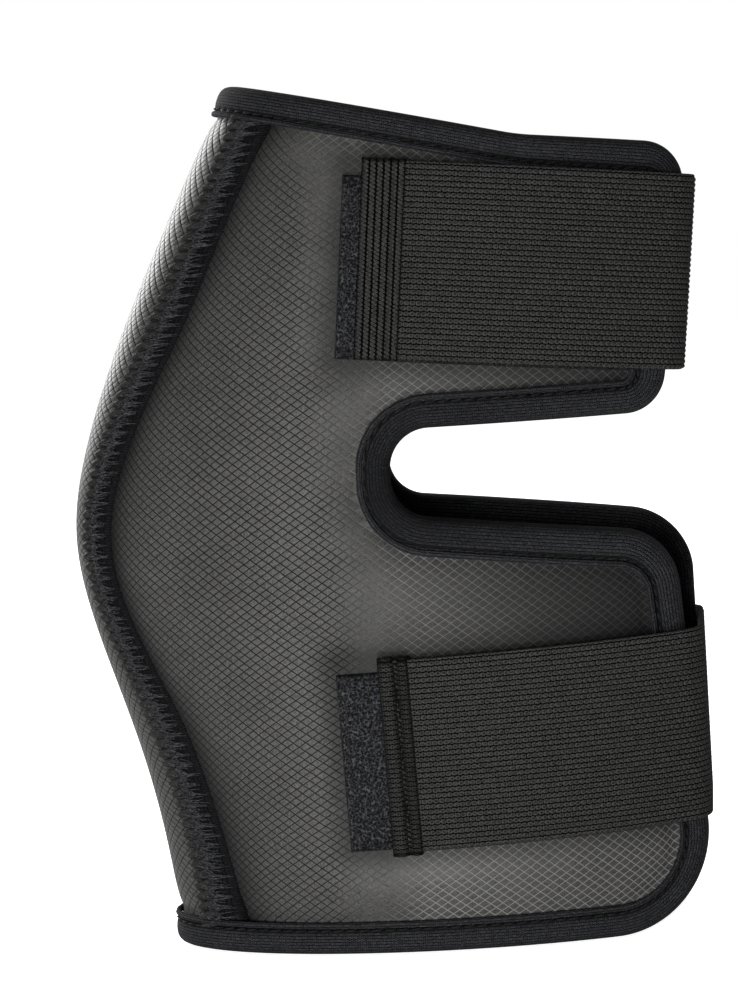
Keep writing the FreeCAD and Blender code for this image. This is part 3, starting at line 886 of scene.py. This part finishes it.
def embossed_panel(name, side):
    """Padded panel whose face is embossed with slanting diamonds, cell by cell."""
    frame_ab, (i, j), (knot_i, knot_j), knots = lattice(
        side, LINE_A, LINE_B, COVER_INSET, COVER_OVERLAP
    )
    count, ends = len(i), (GROOVE, 1 - GROOVE)
    flat_i = np.concatenate([knot_i] + [i + ends[di] for di, _ in CELL_CORNERS])
    flat_j = np.concatenate([knot_j] + [j + ends[dj] for _, dj in CELL_CORNERS])
    s, z = frame_ab @ np.array((flat_i, flat_j))
    sunk = np.concatenate((np.ones(len(knot_i)), np.zeros(4 * count)))
    points = panel_point(side, s, z, -GROOVE_DEEP * sunk)
    inner = len(knot_i) + np.arange(count)[:, None] + count * np.arange(4)
    quads = [inner]
    for k in range(4):
        after = (k + 1) % 4
        quads.append(
            np.stack((knots[:, k], knots[:, after], inner[:, after], inner[:, k]), axis=-1)
        )
    faces = np.concatenate(quads)
    if side == REAR:
        faces = faces[:, ::-1]
    panel = build(name, points, faces, LEATHER, np.stack((s, z), axis=-1))
    attribute(panel, "groove", sunk)
    # Painted shade for the leather's colour, carried by the mesh.
    attribute(panel, "shade", painted_panel_shade(side, s, z))
    dome_diamonds(panel, side, s, z, points, count)
    return panel


def lining_panel(name, side, offset):
    """Knitted inner face of a panel."""
    frame_ab, _, knots, faces = lattice(
        side, (LINING_STEP, 0.0), (0.0, LINING_STEP), LINING_INSET, LINING_OVERLAP
    )
    s, z = frame_ab @ np.array(knots)
    ripple = 0.25 * np.sin(s / 9) * np.sin(z / 13)
    points = skin(side * turn_from_arc(s, z), z, offset + ripple)
    if side == FRONT:
        faces = faces[:, ::-1]
    return build(name, points, faces, LINING, np.stack((s, z), axis=-1))


simulate_swell(FRONT)
simulate_swell(REAR)
front_panel = embossed_panel("front_panel", FRONT)
everywhere(front_panel, *halves("front_cover", "front_foam"), slot="cover")
rear_panel = embossed_panel("rear_panel", REAR)
everywhere(rear_panel, *halves("rear_cover", "rear_foam"), slot="cover")
everywhere(lining_panel("front_lining", FRONT, -WALL), *halves("front_lining"), slot="lining")
everywhere(
    lining_panel("rear_lining", REAR, -WALL + 0.3), *halves("rear_lining"), slot="lining"
)


# --- edge binding and welt ----------------------------------------------------
def closed_curve(spots, each):
    """Smooth closed curve through spots, each stretch split into equal steps."""
    spots = np.asarray(spots, float)
    before, after, last = np.roll(spots, 1, 0), np.roll(spots, -1, 0), np.roll(spots, -2, 0)
    points = []
    for t in np.arange(each) / each:
        points.append(
            0.5 * (
                2 * spots + (after - before) * t
                + (2 * before - 5 * spots + 4 * after - last) * t**2
                + (3 * spots - before - 3 * after + last) * t**3
            )
        )
    return np.stack(points, axis=1).reshape(-1, 2)


# Inset and offset of the folded tape's section, from its outer hem round the edge.
TAPE_SECTION = [
    (6.9, -0.5), (6.8, 0.3), (6.0, 0.75), (4.1, 1.05), (2.2, 0.95), (0.9, 0.2),
    (0.2, -1.4), (0.0, -3.5), (0.2, -5.6), (0.9, -7.1), (2.2, -7.8), (4.0, -7.95),
    (5.7, -7.75), (6.4, -7.4), (6.5, -6.6), (4.6, -6.4), (1.6, -5.4), (1.3, -3.5),
    (1.6, -1.6), (4.6, -0.7),
]

# Radii of the threads.
EDGE_YARN, SPINE_YARN, STRAY_YARN, FRAME_YARN, PILE_YARN = 0.17, 0.12, 0.07, 0.24, 0.075

# Distance along the edge, and a wave that touches 0 at every stitch.
RUN = arc_along(edge_loop(4.0, 0.0))
RUN_LENGTH = RUN[-1]
STITCHES = round(RUN_LENGTH / STITCH)
RUN_WAVE = np.abs(np.sin(RUN / RUN_LENGTH * STITCHES * pi))


def hoop(name, rings, across):
    """Closed body from rings round the whole edge and where each lies across it."""
    uv = [np.stack((RUN, np.full(len(RUN), a)), axis=-1) for a in across]
    faces = grid_faces(len(rings), len(RUN), True, True)
    return face_out(build(name, rings, faces, BINDING, uv))


def edge_binding():
    """Tape folded round the edge, drawn in at every stitch of its hem."""
    spots = closed_curve(TAPE_SECTION, 2)
    rings = []
    for inset, offset in spots:
        pulled = smooth(5.0, 6.7, inset) * smooth(-1.0, 0.4, offset) * 0.45
        ring, sunk = edge_loop(inset, offset), edge_loop(inset, offset - 0.5)
        share = (pulled * (1 - RUN_WAVE**0.6))[:, None]
        rings.append(ring + (sunk - ring) * 2 * share)
    binding = hoop("edge_binding", rings, arc_along(spots))
    x, y, z = np.moveaxis(np.array(rings), -1, 0)
    # Painted shadow on the front binding at the crook, and painted shade in the groove beside the
    # welt.
    crook = 0.6 * (1 - smooth(12, 60, x)) * np.exp(-(((z - 122) / 22) ** 2)) * (y < MIDDLE_Y)
    groove = 0.85 * smooth(5.6, 6.7, spots[:, 0]) * (spots[:, 1] > -1)
    attribute(binding, "shade", np.maximum(crook, groove[:, None]))
    return binding


def edge_welt():
    """Corded welt that the lockstitch pulls in at every stitch."""
    spin = np.arange(12) * 2 * pi / 12
    thick, height = 0.86, 0.1
    middle = WELT_EDGE - thick
    centre = edge_loop(middle, height)
    rings = []
    for turn in spin:
        ring = edge_loop(middle + thick * cos(turn), height + thick * sin(turn))
        swell = 0.86 + 0.14 * RUN_WAVE[:, None] + 0.05 * np.sin(turn * 2 + RUN * 3.7)[:, None]
        rings.append(centre + (ring - centre) * swell)
    welt = hoop("edge_welt", rings, spin * thick)
    # Painted shade on the welt's underside, towards the panel and the binding.
    attribute(welt, "shade", np.repeat(0.85 * (1 - smooth(-0.1, 0.95, np.sin(spin))), len(RUN)))
    return welt


def edge_stitches():
    """Lockstitches sunk in the groove between the binding and its welt."""
    outer, inner = edge_loop(BIND_WIDE - 0.25, 0.75), edge_loop(BIND_WIDE + 0.25, 0.55)
    lift = edge_loop(BIND_WIDE, 1.0) - edge_loop(BIND_WIDE, 0.0)
    marks = np.arange(STITCHES) * RUN_LENGTH / STITCHES
    lines, ups = [], []
    for share, height in ((0.12, -0.5), (0.3, 0.05), (0.5, 0.12), (0.7, 0.05), (0.88, -0.5)):
        at = marks + share * RUN_LENGTH / STITCHES
        up = points_at(at, RUN, lift)
        lines.append(points_at(at, RUN, outer * (1 - share) + inner * share) + height * up)
        ups.append(up)
    lines, ups = np.stack(lines, axis=1), np.stack(ups, axis=1)
    return threads("edge_stitches", lines, ups, EDGE_YARN, DARK_THREAD)


everywhere(
    edge_binding(), "bottom_binding", "top_binding",
    *halves("front_flap_binding", "rear_flap_binding"), slot="binding",
)
everywhere(edge_welt(), *halves("edge_welt"), slot="binding")
everywhere(edge_stitches(), slot="thread")


# --- spine seam ---------------------------------------------------------------
def seam_point(z, across, height):
    """Point beside the spine seam; across is in Y, height is from the cover's face."""
    z, across, height = np.broadcast_arrays(z, across, height)
    return skin(-seam_turn(z, across, height), z, height)


def seam_top():
    """Height at which the seam runs under the top binding."""
    z = 218.0
    for _ in range(30):
        middle, wide, _ = section(z)
        z = top_line(middle + wide * np.cos(seam_turn(z))) - BIND_WIDE
    return float(z)


SEAM_LOW, SEAM_HIGH, SEAM_UNDER = 6.6, seam_top(), -2.6
SEAM_Z = np.linspace(SEAM_LOW, SEAM_HIGH, 620)
SEAM_RUN = arc_along(seam_point(SEAM_Z, 0, 0))


def seam_strip(name, across, height, material):
    """Strip along the seam: height of each line across it, closed underneath."""
    grid = [seam_point(SEAM_Z, a, h) for a, h in zip(across, height)]
    grid += [seam_point(SEAM_Z, a, SEAM_UNDER) for a in across[::-1]]
    uv = [
        np.stack((SEAM_RUN, np.full(len(SEAM_RUN), a)), axis=-1)
        for a in (*across, *across[::-1])
    ]
    return tube(name, grid, material, uv)


def seam_tape():
    """Backing tape under the stitches, drawn down between them."""
    across = np.linspace(-SEAM_EDGE, SEAM_HALF, 13)
    crown = -0.4 - 1.9 * (np.abs(across) / SEAM_HALF) ** 2.5
    pull = np.abs(np.sin(SEAM_RUN / SEAM_PITCH * pi))
    height = [c - 0.3 * (1 - pull) for c in crown]
    return seam_strip("spine_tape", across, height, SEAM_BASE)


def seam_braid():
    """Plump edge of the rear panel, pulled into slanting lumps by the stitches."""
    across = np.linspace(0.3, 3.9, 17)
    middle, half = 2.1, 1.8
    height, gap_shade = [], []
    for a in across:
        bow = max(0.0, 1 - ((a - middle) / half) ** 2) ** 0.6
        lump = np.abs(np.sin(pi * (SEAM_RUN / SEAM_PITCH + 0.22 * a))) ** 0.6
        height.append(-1.9 + 3.3 * bow * (0.12 + 0.88 * lump))
        # Painted shade in the gaps between the lumps.
        gap_shade.append(np.clip(1.1 - 1.3 * lump * bow**0.5, 0, 0.9))
    braid = seam_strip("spine_braid", across, height, SHADED_LEATHER_EDGE)
    # The underside carries painted shade as well.
    attribute(braid, "shade", np.concatenate(gap_shade + [np.full(len(SEAM_Z), 0.9)] * len(across)))
    return braid


# Threads over the front edge of the seam: where each starts and ends along it, and its lift.
FAN = (
    (-1.1, -0.45, 0.0), (-0.6, -0.2, 0.2), (-0.1, 0.0, 0.35), (0.5, 0.2, 0.2), (1.0, 0.45, 0.0),
)
STRAYS = 350


def seam_stitches():
    """Flatlock stitching: fans of thread over the front edge, runs along the middle."""
    marks = np.arange(1, int(SEAM_RUN[-1] / SEAM_PITCH)) * SEAM_PITCH
    above = seam_point(SEAM_Z, 0, 1.0) - seam_point(SEAM_Z, 0, 0.0)
    lines, ups = [], []

    def stitch(run, spots, loose):
        """One thread per mark through (along, across, height) spots, a little untidy."""
        points = []
        for along, across, height in spots:
            stray = rng.uniform(-loose, loose, (3, len(run)))
            z = np.interp(run + along + stray[0], SEAM_RUN, SEAM_Z)
            points.append(seam_point(z, across + stray[1], height + 0.6 * stray[2]))
        points = np.stack(points, axis=1)
        lines.append(points)
        up = points_at(np.interp(run, SEAM_RUN, SEAM_Z), SEAM_Z, above)
        ups.append(np.repeat(up[:, None], points.shape[1], axis=1))

    for near, far, lift in FAN:
        reach = rng.uniform(0.62, 0.98, len(marks))
        stitch(marks, [
            (near, 0.2, -0.5), (near * 0.95, -0.5, 0.4 + lift),
            (near * 0.7, -1.2 * reach, 0.65 + lift),
            (far, -1.9 * reach, 0.3 + lift), (far * 0.5, -2.5 * reach, -1.1),
        ], 0.34)
    reach = rng.uniform(0.5, 1.2, len(marks))
    stitch(marks + SEAM_PITCH / 2, [
        (0.0, 0.1, -0.5), (0.0, -0.4, 0.3), (0.0, -0.8 * reach, 0.4),
        (0.0, -1.2 * reach, 0.15), (0.0, -1.7 * reach, -0.9),
    ], 0.34)
    for across, lift in ((0.15, -0.1), (-0.25, 0.1), (-0.65, 0.2), (-1.05, 0.05)):
        stitch(marks, [
            (0.1, across, -0.5), (0.8, across - 0.2, 0.35 + lift),
            (1.4, across + 0.15, 0.6 + lift), (2.0, across - 0.15, 0.35 + lift),
            (2.7, across, -0.5),
        ], 0.22)
    for lean in (-0.35, 0.05, 0.45):
        stitch(marks, [
            (lean - 0.7, 0.1, 0.0), (lean - 0.3, 1.0, 0.55), (lean + 0.2, 2.0, 0.75),
            (lean + 0.6, 3.0, 0.3), (lean + 1.0, 3.7, -1.2),
        ], 0.14)
    sewn = sum(len(line) for line in lines)
    run = rng.uniform(0, SEAM_RUN[-1], STRAYS)
    middle, turn = rng.uniform(-2.3, 2.6, STRAYS), rng.uniform(-1.3, 1.3, STRAYS)
    size, lift = rng.uniform(0.4, 1.1, STRAYS), rng.uniform(-0.3, 0.55, STRAYS)
    stitch(run, [
        (share * size * np.sin(turn), middle + share * size * np.cos(turn),
         lift + 0.55 - 0.8 * share**2)
        for share in (-1, -0.5, 0, 0.5, 1)
    ], 0.15)
    radius = np.concatenate((np.full(sewn, SPINE_YARN), np.full(STRAYS, STRAY_YARN)))
    return threads(
        "spine_stitches", np.concatenate(lines), np.concatenate(ups), radius, THREAD
    )


everywhere(seam_tape(), *halves("spine_seam_tape"), slot="thread")
everywhere(seam_braid(), *halves("spine_seam_braid"), slot="cover")
everywhere(seam_stitches(), *halves("spine_seam_zigzag"), slot="thread")


# --- closures -----------------------------------------------------------------
def on_face(strap, along, across, offset, forward=0.0):
    """Point of the front face in a closure's own tilted axes."""
    tilt = radians(strap["tilt"])
    x = strap["x"] + along * cos(tilt) + across * sin(tilt)
    z = strap["z"] - along * sin(tilt) + across * cos(tilt)
    x, z, offset = np.broadcast_arrays(x, z, offset)
    return np.stack((x, MIDDLE_Y - forward - rise_at(x, z, offset), z), axis=-1)


def strap_line(strap, across, offset, inset, radius, tuck=0.0):
    """One thread of a strap, from its free end round the open side to the sewn end."""
    tilt, lean, yaw = (radians(strap[key]) for key in ("tilt", "lean", "yaw"))
    start = strap["x"] + across * sin(tilt)

    def height(x):
        return strap["z"] + across * cos(tilt) - (x - start) * tan(tilt)

    def wall(x, side, extra):
        return MIDDLE_Y - STRAP_FORWARD + side * rise_at(x, height(x), extra)

    def corner(side):
        x = strap["side_x"] - radius - inset
        for _ in range(30):
            y = wall(x, side, offset - radius)
            level = (height(x) - strap["side_z"]) * tan(lean)
            x = strap["side_x"] + level + y * tan(yaw) - (inset + radius) / cos(yaw)
        middle, wide, depth = section(height(x))
        away = (x - middle) / (wide + offset - radius) ** 2
        out = (y - MIDDLE_Y + STRAP_FORWARD) / (depth + offset - radius) ** 2
        return np.array((x, y)), atan2(out, away)

    def arc(centre, first, last):
        turn = np.linspace(first, last, 16)
        return centre + radius * np.stack((np.cos(turn), np.sin(turn)), axis=-1)

    def run(x, side, meet, drop):
        """Run over the sleeve that meets the corner at its end of larger X."""
        y = wall(x, side, offset - drop)
        share = np.linspace(0, 1, len(x)) ** 4
        near = -1
        if x[0] > x[-1]:
            share, near = share[::-1], 0
        return np.stack((x, y + (meet - y[near]) * share), axis=-1)

    centre, front_turn = corner(FRONT)
    front_arc = arc(centre, front_turn, -yaw)
    centre, rear_turn = corner(REAR)
    rear_arc = arc(centre, -yaw, rear_turn)
    front_x = np.linspace(start, front_arc[0, 0], 80)
    rear_x = np.linspace(rear_arc[-1, 0], ANCHOR_X, 40)
    front = run(front_x, FRONT, front_arc[0, 1], 0)
    rear = run(rear_x, REAR, rear_arc[-1, 1], tuck * smooth(70, 62, rear_x))
    side_gap = np.linspace(front_arc[-1], rear_arc[0], 20)[1:-1]
    flat = np.vstack((front[:-1], front_arc, side_gap, rear_arc, rear[1:]))
    return np.column_stack((flat, height(flat[:, 0])))


def resample(line, count):
    """Equally spaced points of a line, and its length."""
    run = arc_along(line)
    return points_at(np.linspace(0, run[-1], count), run, line), run[-1]


STRAP_COLUMNS, STRAP_ROWS, UNDER_ROWS = 560, 149, 9


def strap_face(strap, across, *shape, tuck=0.0):
    """Face of a strap as a grid: one line for each distance across its width."""
    return np.stack([
        resample(strap_line(strap, v, *shape, tuck=tuck), STRAP_COLUMNS)[0] for v in across
    ])


def strap_pieces(key, strap):
    """The strap in two lengths that meet half way round the open side."""
    fine = np.linspace(0, STRAP_WIDE, STRAP_ROWS)
    coarse = np.linspace(STRAP_WIDE, 0, UNDER_ROWS)
    outer_shape, thick = (STRAP_OUT, 0, CORNER_ROUND), STRAP_OUT - STRAP_IN
    outer = strap_face(strap, fine, *outer_shape)
    inner = strap_face(strap, coarse, STRAP_IN, thick, CORNER_ROUND - thick, tuck=0.9)
    length = resample(strap_line(strap, STRAP_WIDE / 2, *outer_shape), 2)[1]
    u = np.linspace(0, length, STRAP_COLUMNS)
    under = np.stack([
        points_at(fine, coarse[::-1], inner[::-1, m]) for m in range(STRAP_COLUMNS)
    ], axis=1)
    out = outer - under
    out /= np.linalg.norm(out, axis=-1, keepdims=True)
    row = fine[:, None] / RIB
    rib = np.abs(np.sin(pi * row))
    slip = rng.normal(0, 0.10, 40)[np.floor(row).astype(int)]
    wander = 0.10 * np.sin(u[None] / 6.3 + np.floor(row) * 1.7)
    bead = np.abs(np.sin(pi * (u[None] / LOOP + 0.5 * np.floor(row) + slip + wander)))
    edge = np.clip(1 - np.minimum(fine, STRAP_WIDE - fine) / 0.9, 0, 1)[:, None]
    height = 0.36 * rib**0.7 * (0.35 + 0.65 * bead) - 0.36 - 0.7 * edge**2
    outer = outer + out * height[..., None]
    x, y, _ = outer[STRAP_ROWS // 2].T
    open_side, middle_y = x > 70, MIDDLE_Y - STRAP_FORWARD
    half_way = int(np.argmin(np.where(open_side, np.abs(y - middle_y), 1e9)))
    made = []
    for part, low, high in (("front", 0, half_way + 1), ("rear", half_way, STRAP_COLUMNS)):
        grid = np.concatenate((outer[:, low:high], inner[:, low:high]))
        v = np.concatenate((fine, coarse))
        uv = np.stack(np.broadcast_arrays(u[None, low:high], v[:, None]), axis=-1)
        made.append(tube(key + "_strap_" + part, grid, ELASTIC, uv))
    return made


def slab(name, strap, span_u, span_v, step, top, bottom, material, forward=0.0, deep=9.0):
    """Closed slab on the front face, with painted shade where its top is deep below its crown."""
    u, v = (np.linspace(a, b, round((b - a) / step) + 1) for a, b in (span_u, span_v))
    uu, vv = np.meshgrid(u, v)
    ub, vb = np.meshgrid(u, span_v[::-1])
    face = top(uu, vv)
    grid = np.concatenate((
        on_face(strap, uu, vv, face, forward), on_face(strap, ub, vb, bottom, forward)
    ))
    uv = np.concatenate((np.stack((uu, vv), axis=-1), np.stack((ub, vb), axis=-1)))
    obj = tube(name, grid, material, uv)
    # Painted shade in the face's hollows; the underside carries half painted shade.
    shade = np.clip((face.max() - face) / deep, 0, 0.95)
    attribute(obj, "shade", np.concatenate((shade, np.full(ub.shape, 0.5))))
    return obj


def rim_fall(u, v, long, wide, reach):
    """How far a slab's face is down from its crown near its edges, from 0 to 1."""
    near = np.minimum(np.minimum(u, long - u), np.minimum(v, wide - v))
    return np.clip(1 - near / reach, 0, 1) ** 2


def slanting(u, v):
    """Slanting yarns of a folded end, from -1 to 1."""
    return np.sin(2 * pi * (v / 1.25 + u / 2.2))


def hem_top(u, v):
    """Folded end: upright ribs of slanting yarn, rolled over at its edges."""
    rib = np.abs(np.sin(pi * u / 1.8)) ** 0.7
    fall = rim_fall(u, v, HEM_LONG, STRAP_WIDE, 0.9)
    sewn = np.exp(-(((u - 7.9) / 0.45) ** 2))
    return HEM_OUT - 0.45 + 0.42 * rib + 0.14 * slanting(u, v) - 1.3 * fall - 0.6 * sewn


def rolled_top(u, v):
    """Folded end whose edge is rolled into a cord, with a rib sewn down beside it."""
    roll = np.sqrt(np.clip(1 - ((u - 1.9) / 1.9) ** 2, 0, 1))
    rib = np.sqrt(np.clip(1 - ((u - 6.1) / 1.3) ** 2, 0, 1))
    ends = np.clip(1 - np.minimum(v, STRAP_WIDE - v) / 0.9, 0, 1) ** 2
    return HEM_OUT - 1.3 + 1.7 * roll + 1.2 * rib + 0.14 * slanting(u, v) - 1.1 * ends


# Size of the loop patch, its tufts and how many loops stray from it.
PATCH_LONG, PATCH_WIDE, TUFT, TUFTS, PILE_LOOPS = 76.5, 46.5, 0.55, 400, 2200
PATCH_NOISE = rng.normal(size=(TUFTS, TUFTS))


def patch_top(u, v):
    """Loop pile between two ribbed selvedges."""
    rows, cols = (np.clip((at / TUFT).astype(int), 0, TUFTS - 1) for at in (v, u))
    tuft = PATCH_NOISE[rows, cols]
    edge = np.minimum(v, PATCH_WIDE - v)
    selvedge = 1 - smooth(2.6, 3.6, edge)
    ridges = np.abs(np.sin(pi * u / 0.9))
    fall = rim_fall(u, v, PATCH_LONG, PATCH_WIDE, 0.7)
    pile_top = 1.45 + 0.14 * tuft
    return pile_top * (1 - selvedge) + (1.0 + 0.28 * ridges) * selvedge - 0.8 * fall


def hook_top(u, v):
    """Back of the hook tape under the strap's end."""
    return np.full_like(u, 2.0)


def loops(name, strap, count):
    """Stray loops of pile standing on the patch."""
    u = rng.uniform(1.2, PATCH_LONG - 1.2, count)
    v = rng.uniform(3.4, PATCH_WIDE - 3.4, count)
    turn = rng.uniform(0, 2 * pi, count)
    size = rng.uniform(0.35, 0.75, count)
    lines = []
    for share, height in ((-1, 1.2), (-0.7, 1.75), (0, 2.05), (0.7, 1.75), (1, 1.2)):
        reach = share * size
        lines.append(on_face(strap, u + reach * np.cos(turn), v + reach * np.sin(turn), height))
    lines = np.stack(lines, axis=1)
    return threads(name, lines, (0.0, -1.0, 0.0), PILE_YARN, LOOP_PILE, sides=4)


# One lockstitch: share of its length and height over the cloth, from end to end.
LOCKSTITCH = ((0.08, -0.35), (0.3, 0.25), (0.5, 0.3), (0.7, 0.25), (0.92, -0.35))
SEWN_PITCH = 2.6


def stitched_frame(name, point, long, wide, inset, material, crossed=False):
    """Lockstitch round a rectangle, with a cross inside where it is asked for."""
    low, right, top = inset, long - inset, wide - inset
    spots = [(low, low), (right, low), (right, top), (low, top), (low, low)]
    routes = list(zip(spots, spots[1:]))
    if crossed:
        routes += [((low, low), (right, top)), ((right, low), (low, top))]
    lines = []
    for first, last in routes:
        first, last = np.array(first, float), np.array(last, float)
        number = max(1, round(np.hypot(*(last - first)) / SEWN_PITCH))
        for k in range(number):
            lines.append([
                point(*(first + (last - first) * (k + share) / number), height)
                for share, height in LOCKSTITCH
            ])
    up = point(1, 1, 1.0) - point(1, 1, 0.0)
    return threads(name, lines, up, FRAME_YARN, material)


def closures(key, strap):
    """One strap with its hook tape, the patch under it and the sewing of both."""
    front, rear = strap_pieces(key, strap)
    shell, band, tip = key + "_shell", key + "_strap", key + "_strap_tip"
    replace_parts(rear, key + "_strap_band", key + "_strap_anchor")
    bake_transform(rear)
    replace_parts(front, key + "_strap_end")
    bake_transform(front)

    top, yarns, long, over = hem_top, HEM, HEM_LONG, 0.4
    if key == "lower":
        top, yarns, long, over = rolled_top, ROLLED, ROLLED_LONG, 0.9
    hem = slab(
        key + "_strap_hem_fold", strap, (-0.2, long), (-over, STRAP_WIDE + over),
        0.26, top, STRAP_IN + 0.3, yarns, STRAP_FORWARD, 2.2,
    )
    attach(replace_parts(hem, key + "_strap_hem"), tip)
    hook = slab(
        key + "_hook_tape", strap, (2.5, 54.5), (2.5, STRAP_WIDE - 2.5), 1.0,
        hook_top, 0.95, HOOK_TAPE, STRAP_FORWARD,
    )
    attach(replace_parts(hook, key + "_hook_tab"), tip)

    patch = dict(strap, x=strap["patch"][0], z=strap["patch"][1])
    pad = slab(
        key + "_loop_tape", patch, (0, PATCH_LONG), (0, PATCH_WIDE), 0.3,
        patch_top, -0.8, LOOP_PILE, deep=1.5,
    )
    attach(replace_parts(pad, key + "_loop_patch"), shell)
    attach(loops(key + "_pile_loops", patch, PILE_LOOPS), shell)

    def on_patch(u, v, height):
        return on_face(patch, u, v, 1.25 + height)

    def on_anchor(u, v, height):
        """Point on the strap's sewn end at the back."""
        tilt = radians(strap["tilt"])
        x = ANCHOR_X + u
        z = strap["z"] + v / cos(tilt) - (x - strap["x"]) * tan(tilt)
        rise = rise_at(x, z, STRAP_OUT - 0.1 + height)
        return np.array((x, MIDDLE_Y - STRAP_FORWARD + rise, z))

    sewn = stitched_frame(
        key + "_patch_sewing", on_patch, PATCH_LONG, PATCH_WIDE, 1.8, DARK_THREAD
    )
    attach(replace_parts(sewn, key + "_patch_stitching"), shell)
    sewn = stitched_frame(
        key + "_anchor_sewing", on_anchor, ANCHOR_LONG, STRAP_WIDE, 3.0, THREAD, True
    )
    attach(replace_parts(sewn, key + "_anchor_stitching"), shell)


for key, strap in STRAPS.items():
    closures(key, strap)


# --- studio -------------------------------------------------------------------
# Lights: name, place, what they point at, size in metres and power in watts.
LIGHTS = (
    ("front_softbox", (-0.28, -1.28, 0.05), (0.0, 0, 0.10), 0.45, 16.5),
    ("left_rim", (-0.80, 0.95, 0.60), (-0.05, 0, 0.18), 0.7, 21),
    ("low_fill", (-0.02, -0.33, 0.010), (-0.01, 0, 0.0), 0.05, 0.58),
)

# World: strength in front of the object and behind it, and between which Y it changes.
SKY_FRONT, SKY_BACK, SKY_FADE = 0.05, 0.6, (0.05, 0.55)

# Camera: place, focal length and sensor in millimetres, roll and height of its view.
EYE, LENS, SENSOR = (-0.0010, -0.8447, 0.1894), 115.13, 36
ROLL, RISE = radians(3.5), radians(5)


def floor():
    half, low = 4000, -0.05
    spots = [(x * half, y * half, low) for x, y in ((-1, -1), (1, -1), (1, 1), (-1, 1))]
    build("studio_floor", spots, [(0, 1, 2, 3)], floor_paint())


def area_light(name, place, aim, size, power):
    data = bpy.data.lights.new(name, "AREA")
    data.shape, data.size, data.energy = "SQUARE", size, power
    lamp = bpy.data.objects.new(name, data)
    bpy.context.scene.collection.objects.link(lamp)
    lamp.location = place
    lamp.rotation_mode = "QUATERNION"
    lamp.rotation_quaternion = (Vector(aim) - Vector(place)).to_track_quat("-Z", "Y")


def world():
    """White studio, bright behind the object and dimmer in front of it."""
    sky = bpy.data.worlds.new("studio")
    sky.use_nodes = True
    tree = sky.node_tree
    backdrop = tree.nodes["Background"]
    backdrop.inputs["Color"].default_value = (1, 1, 1, 1)
    towards, parts, fade, seen, strength = (
        tree.nodes.new("ShaderNode" + kind)
        for kind in ("TexCoord", "SeparateXYZ", "MapRange", "LightPath", "Math")
    )
    strength.operation = "MAXIMUM"
    ends = ("From Min", "From Max", "To Min", "To Max")
    for socket, value in zip(ends, (*SKY_FADE, SKY_FRONT, SKY_BACK)):
        fade.inputs[socket].default_value = value
    tree.links.new(towards.outputs["Generated"], parts.inputs[0])
    tree.links.new(parts.outputs["Y"], fade.inputs["Value"])
    tree.links.new(fade.outputs[0], strength.inputs[0])
    tree.links.new(seen.outputs["Is Camera Ray"], strength.inputs[1])
    tree.links.new(strength.outputs[0], backdrop.inputs["Strength"])
    bpy.context.scene.world = sky


def camera():
    """Camera a little above the guard's middle, rolled as the guard leans."""
    right = Vector((cos(ROLL), 0, -sin(ROLL)))
    up = Vector((cos(RISE) * sin(ROLL), sin(RISE), cos(RISE) * cos(ROLL)))
    data = bpy.data.cameras.new("camera")
    data.lens, data.sensor_width = LENS, SENSOR
    data.clip_start, data.clip_end = 0.01, 50
    eye = bpy.data.objects.new("camera", data)
    bpy.context.scene.collection.objects.link(eye)
    turn = Matrix((right, up, right.cross(up))).transposed().to_4x4()
    eye.matrix_world = Matrix.Translation(EYE) @ turn
    bpy.context.scene.camera = eye


floor()
world()
for light in LIGHTS:
    area_light(*light)
camera()
bpy.context.scene.view_settings.view_transform = "Standard"
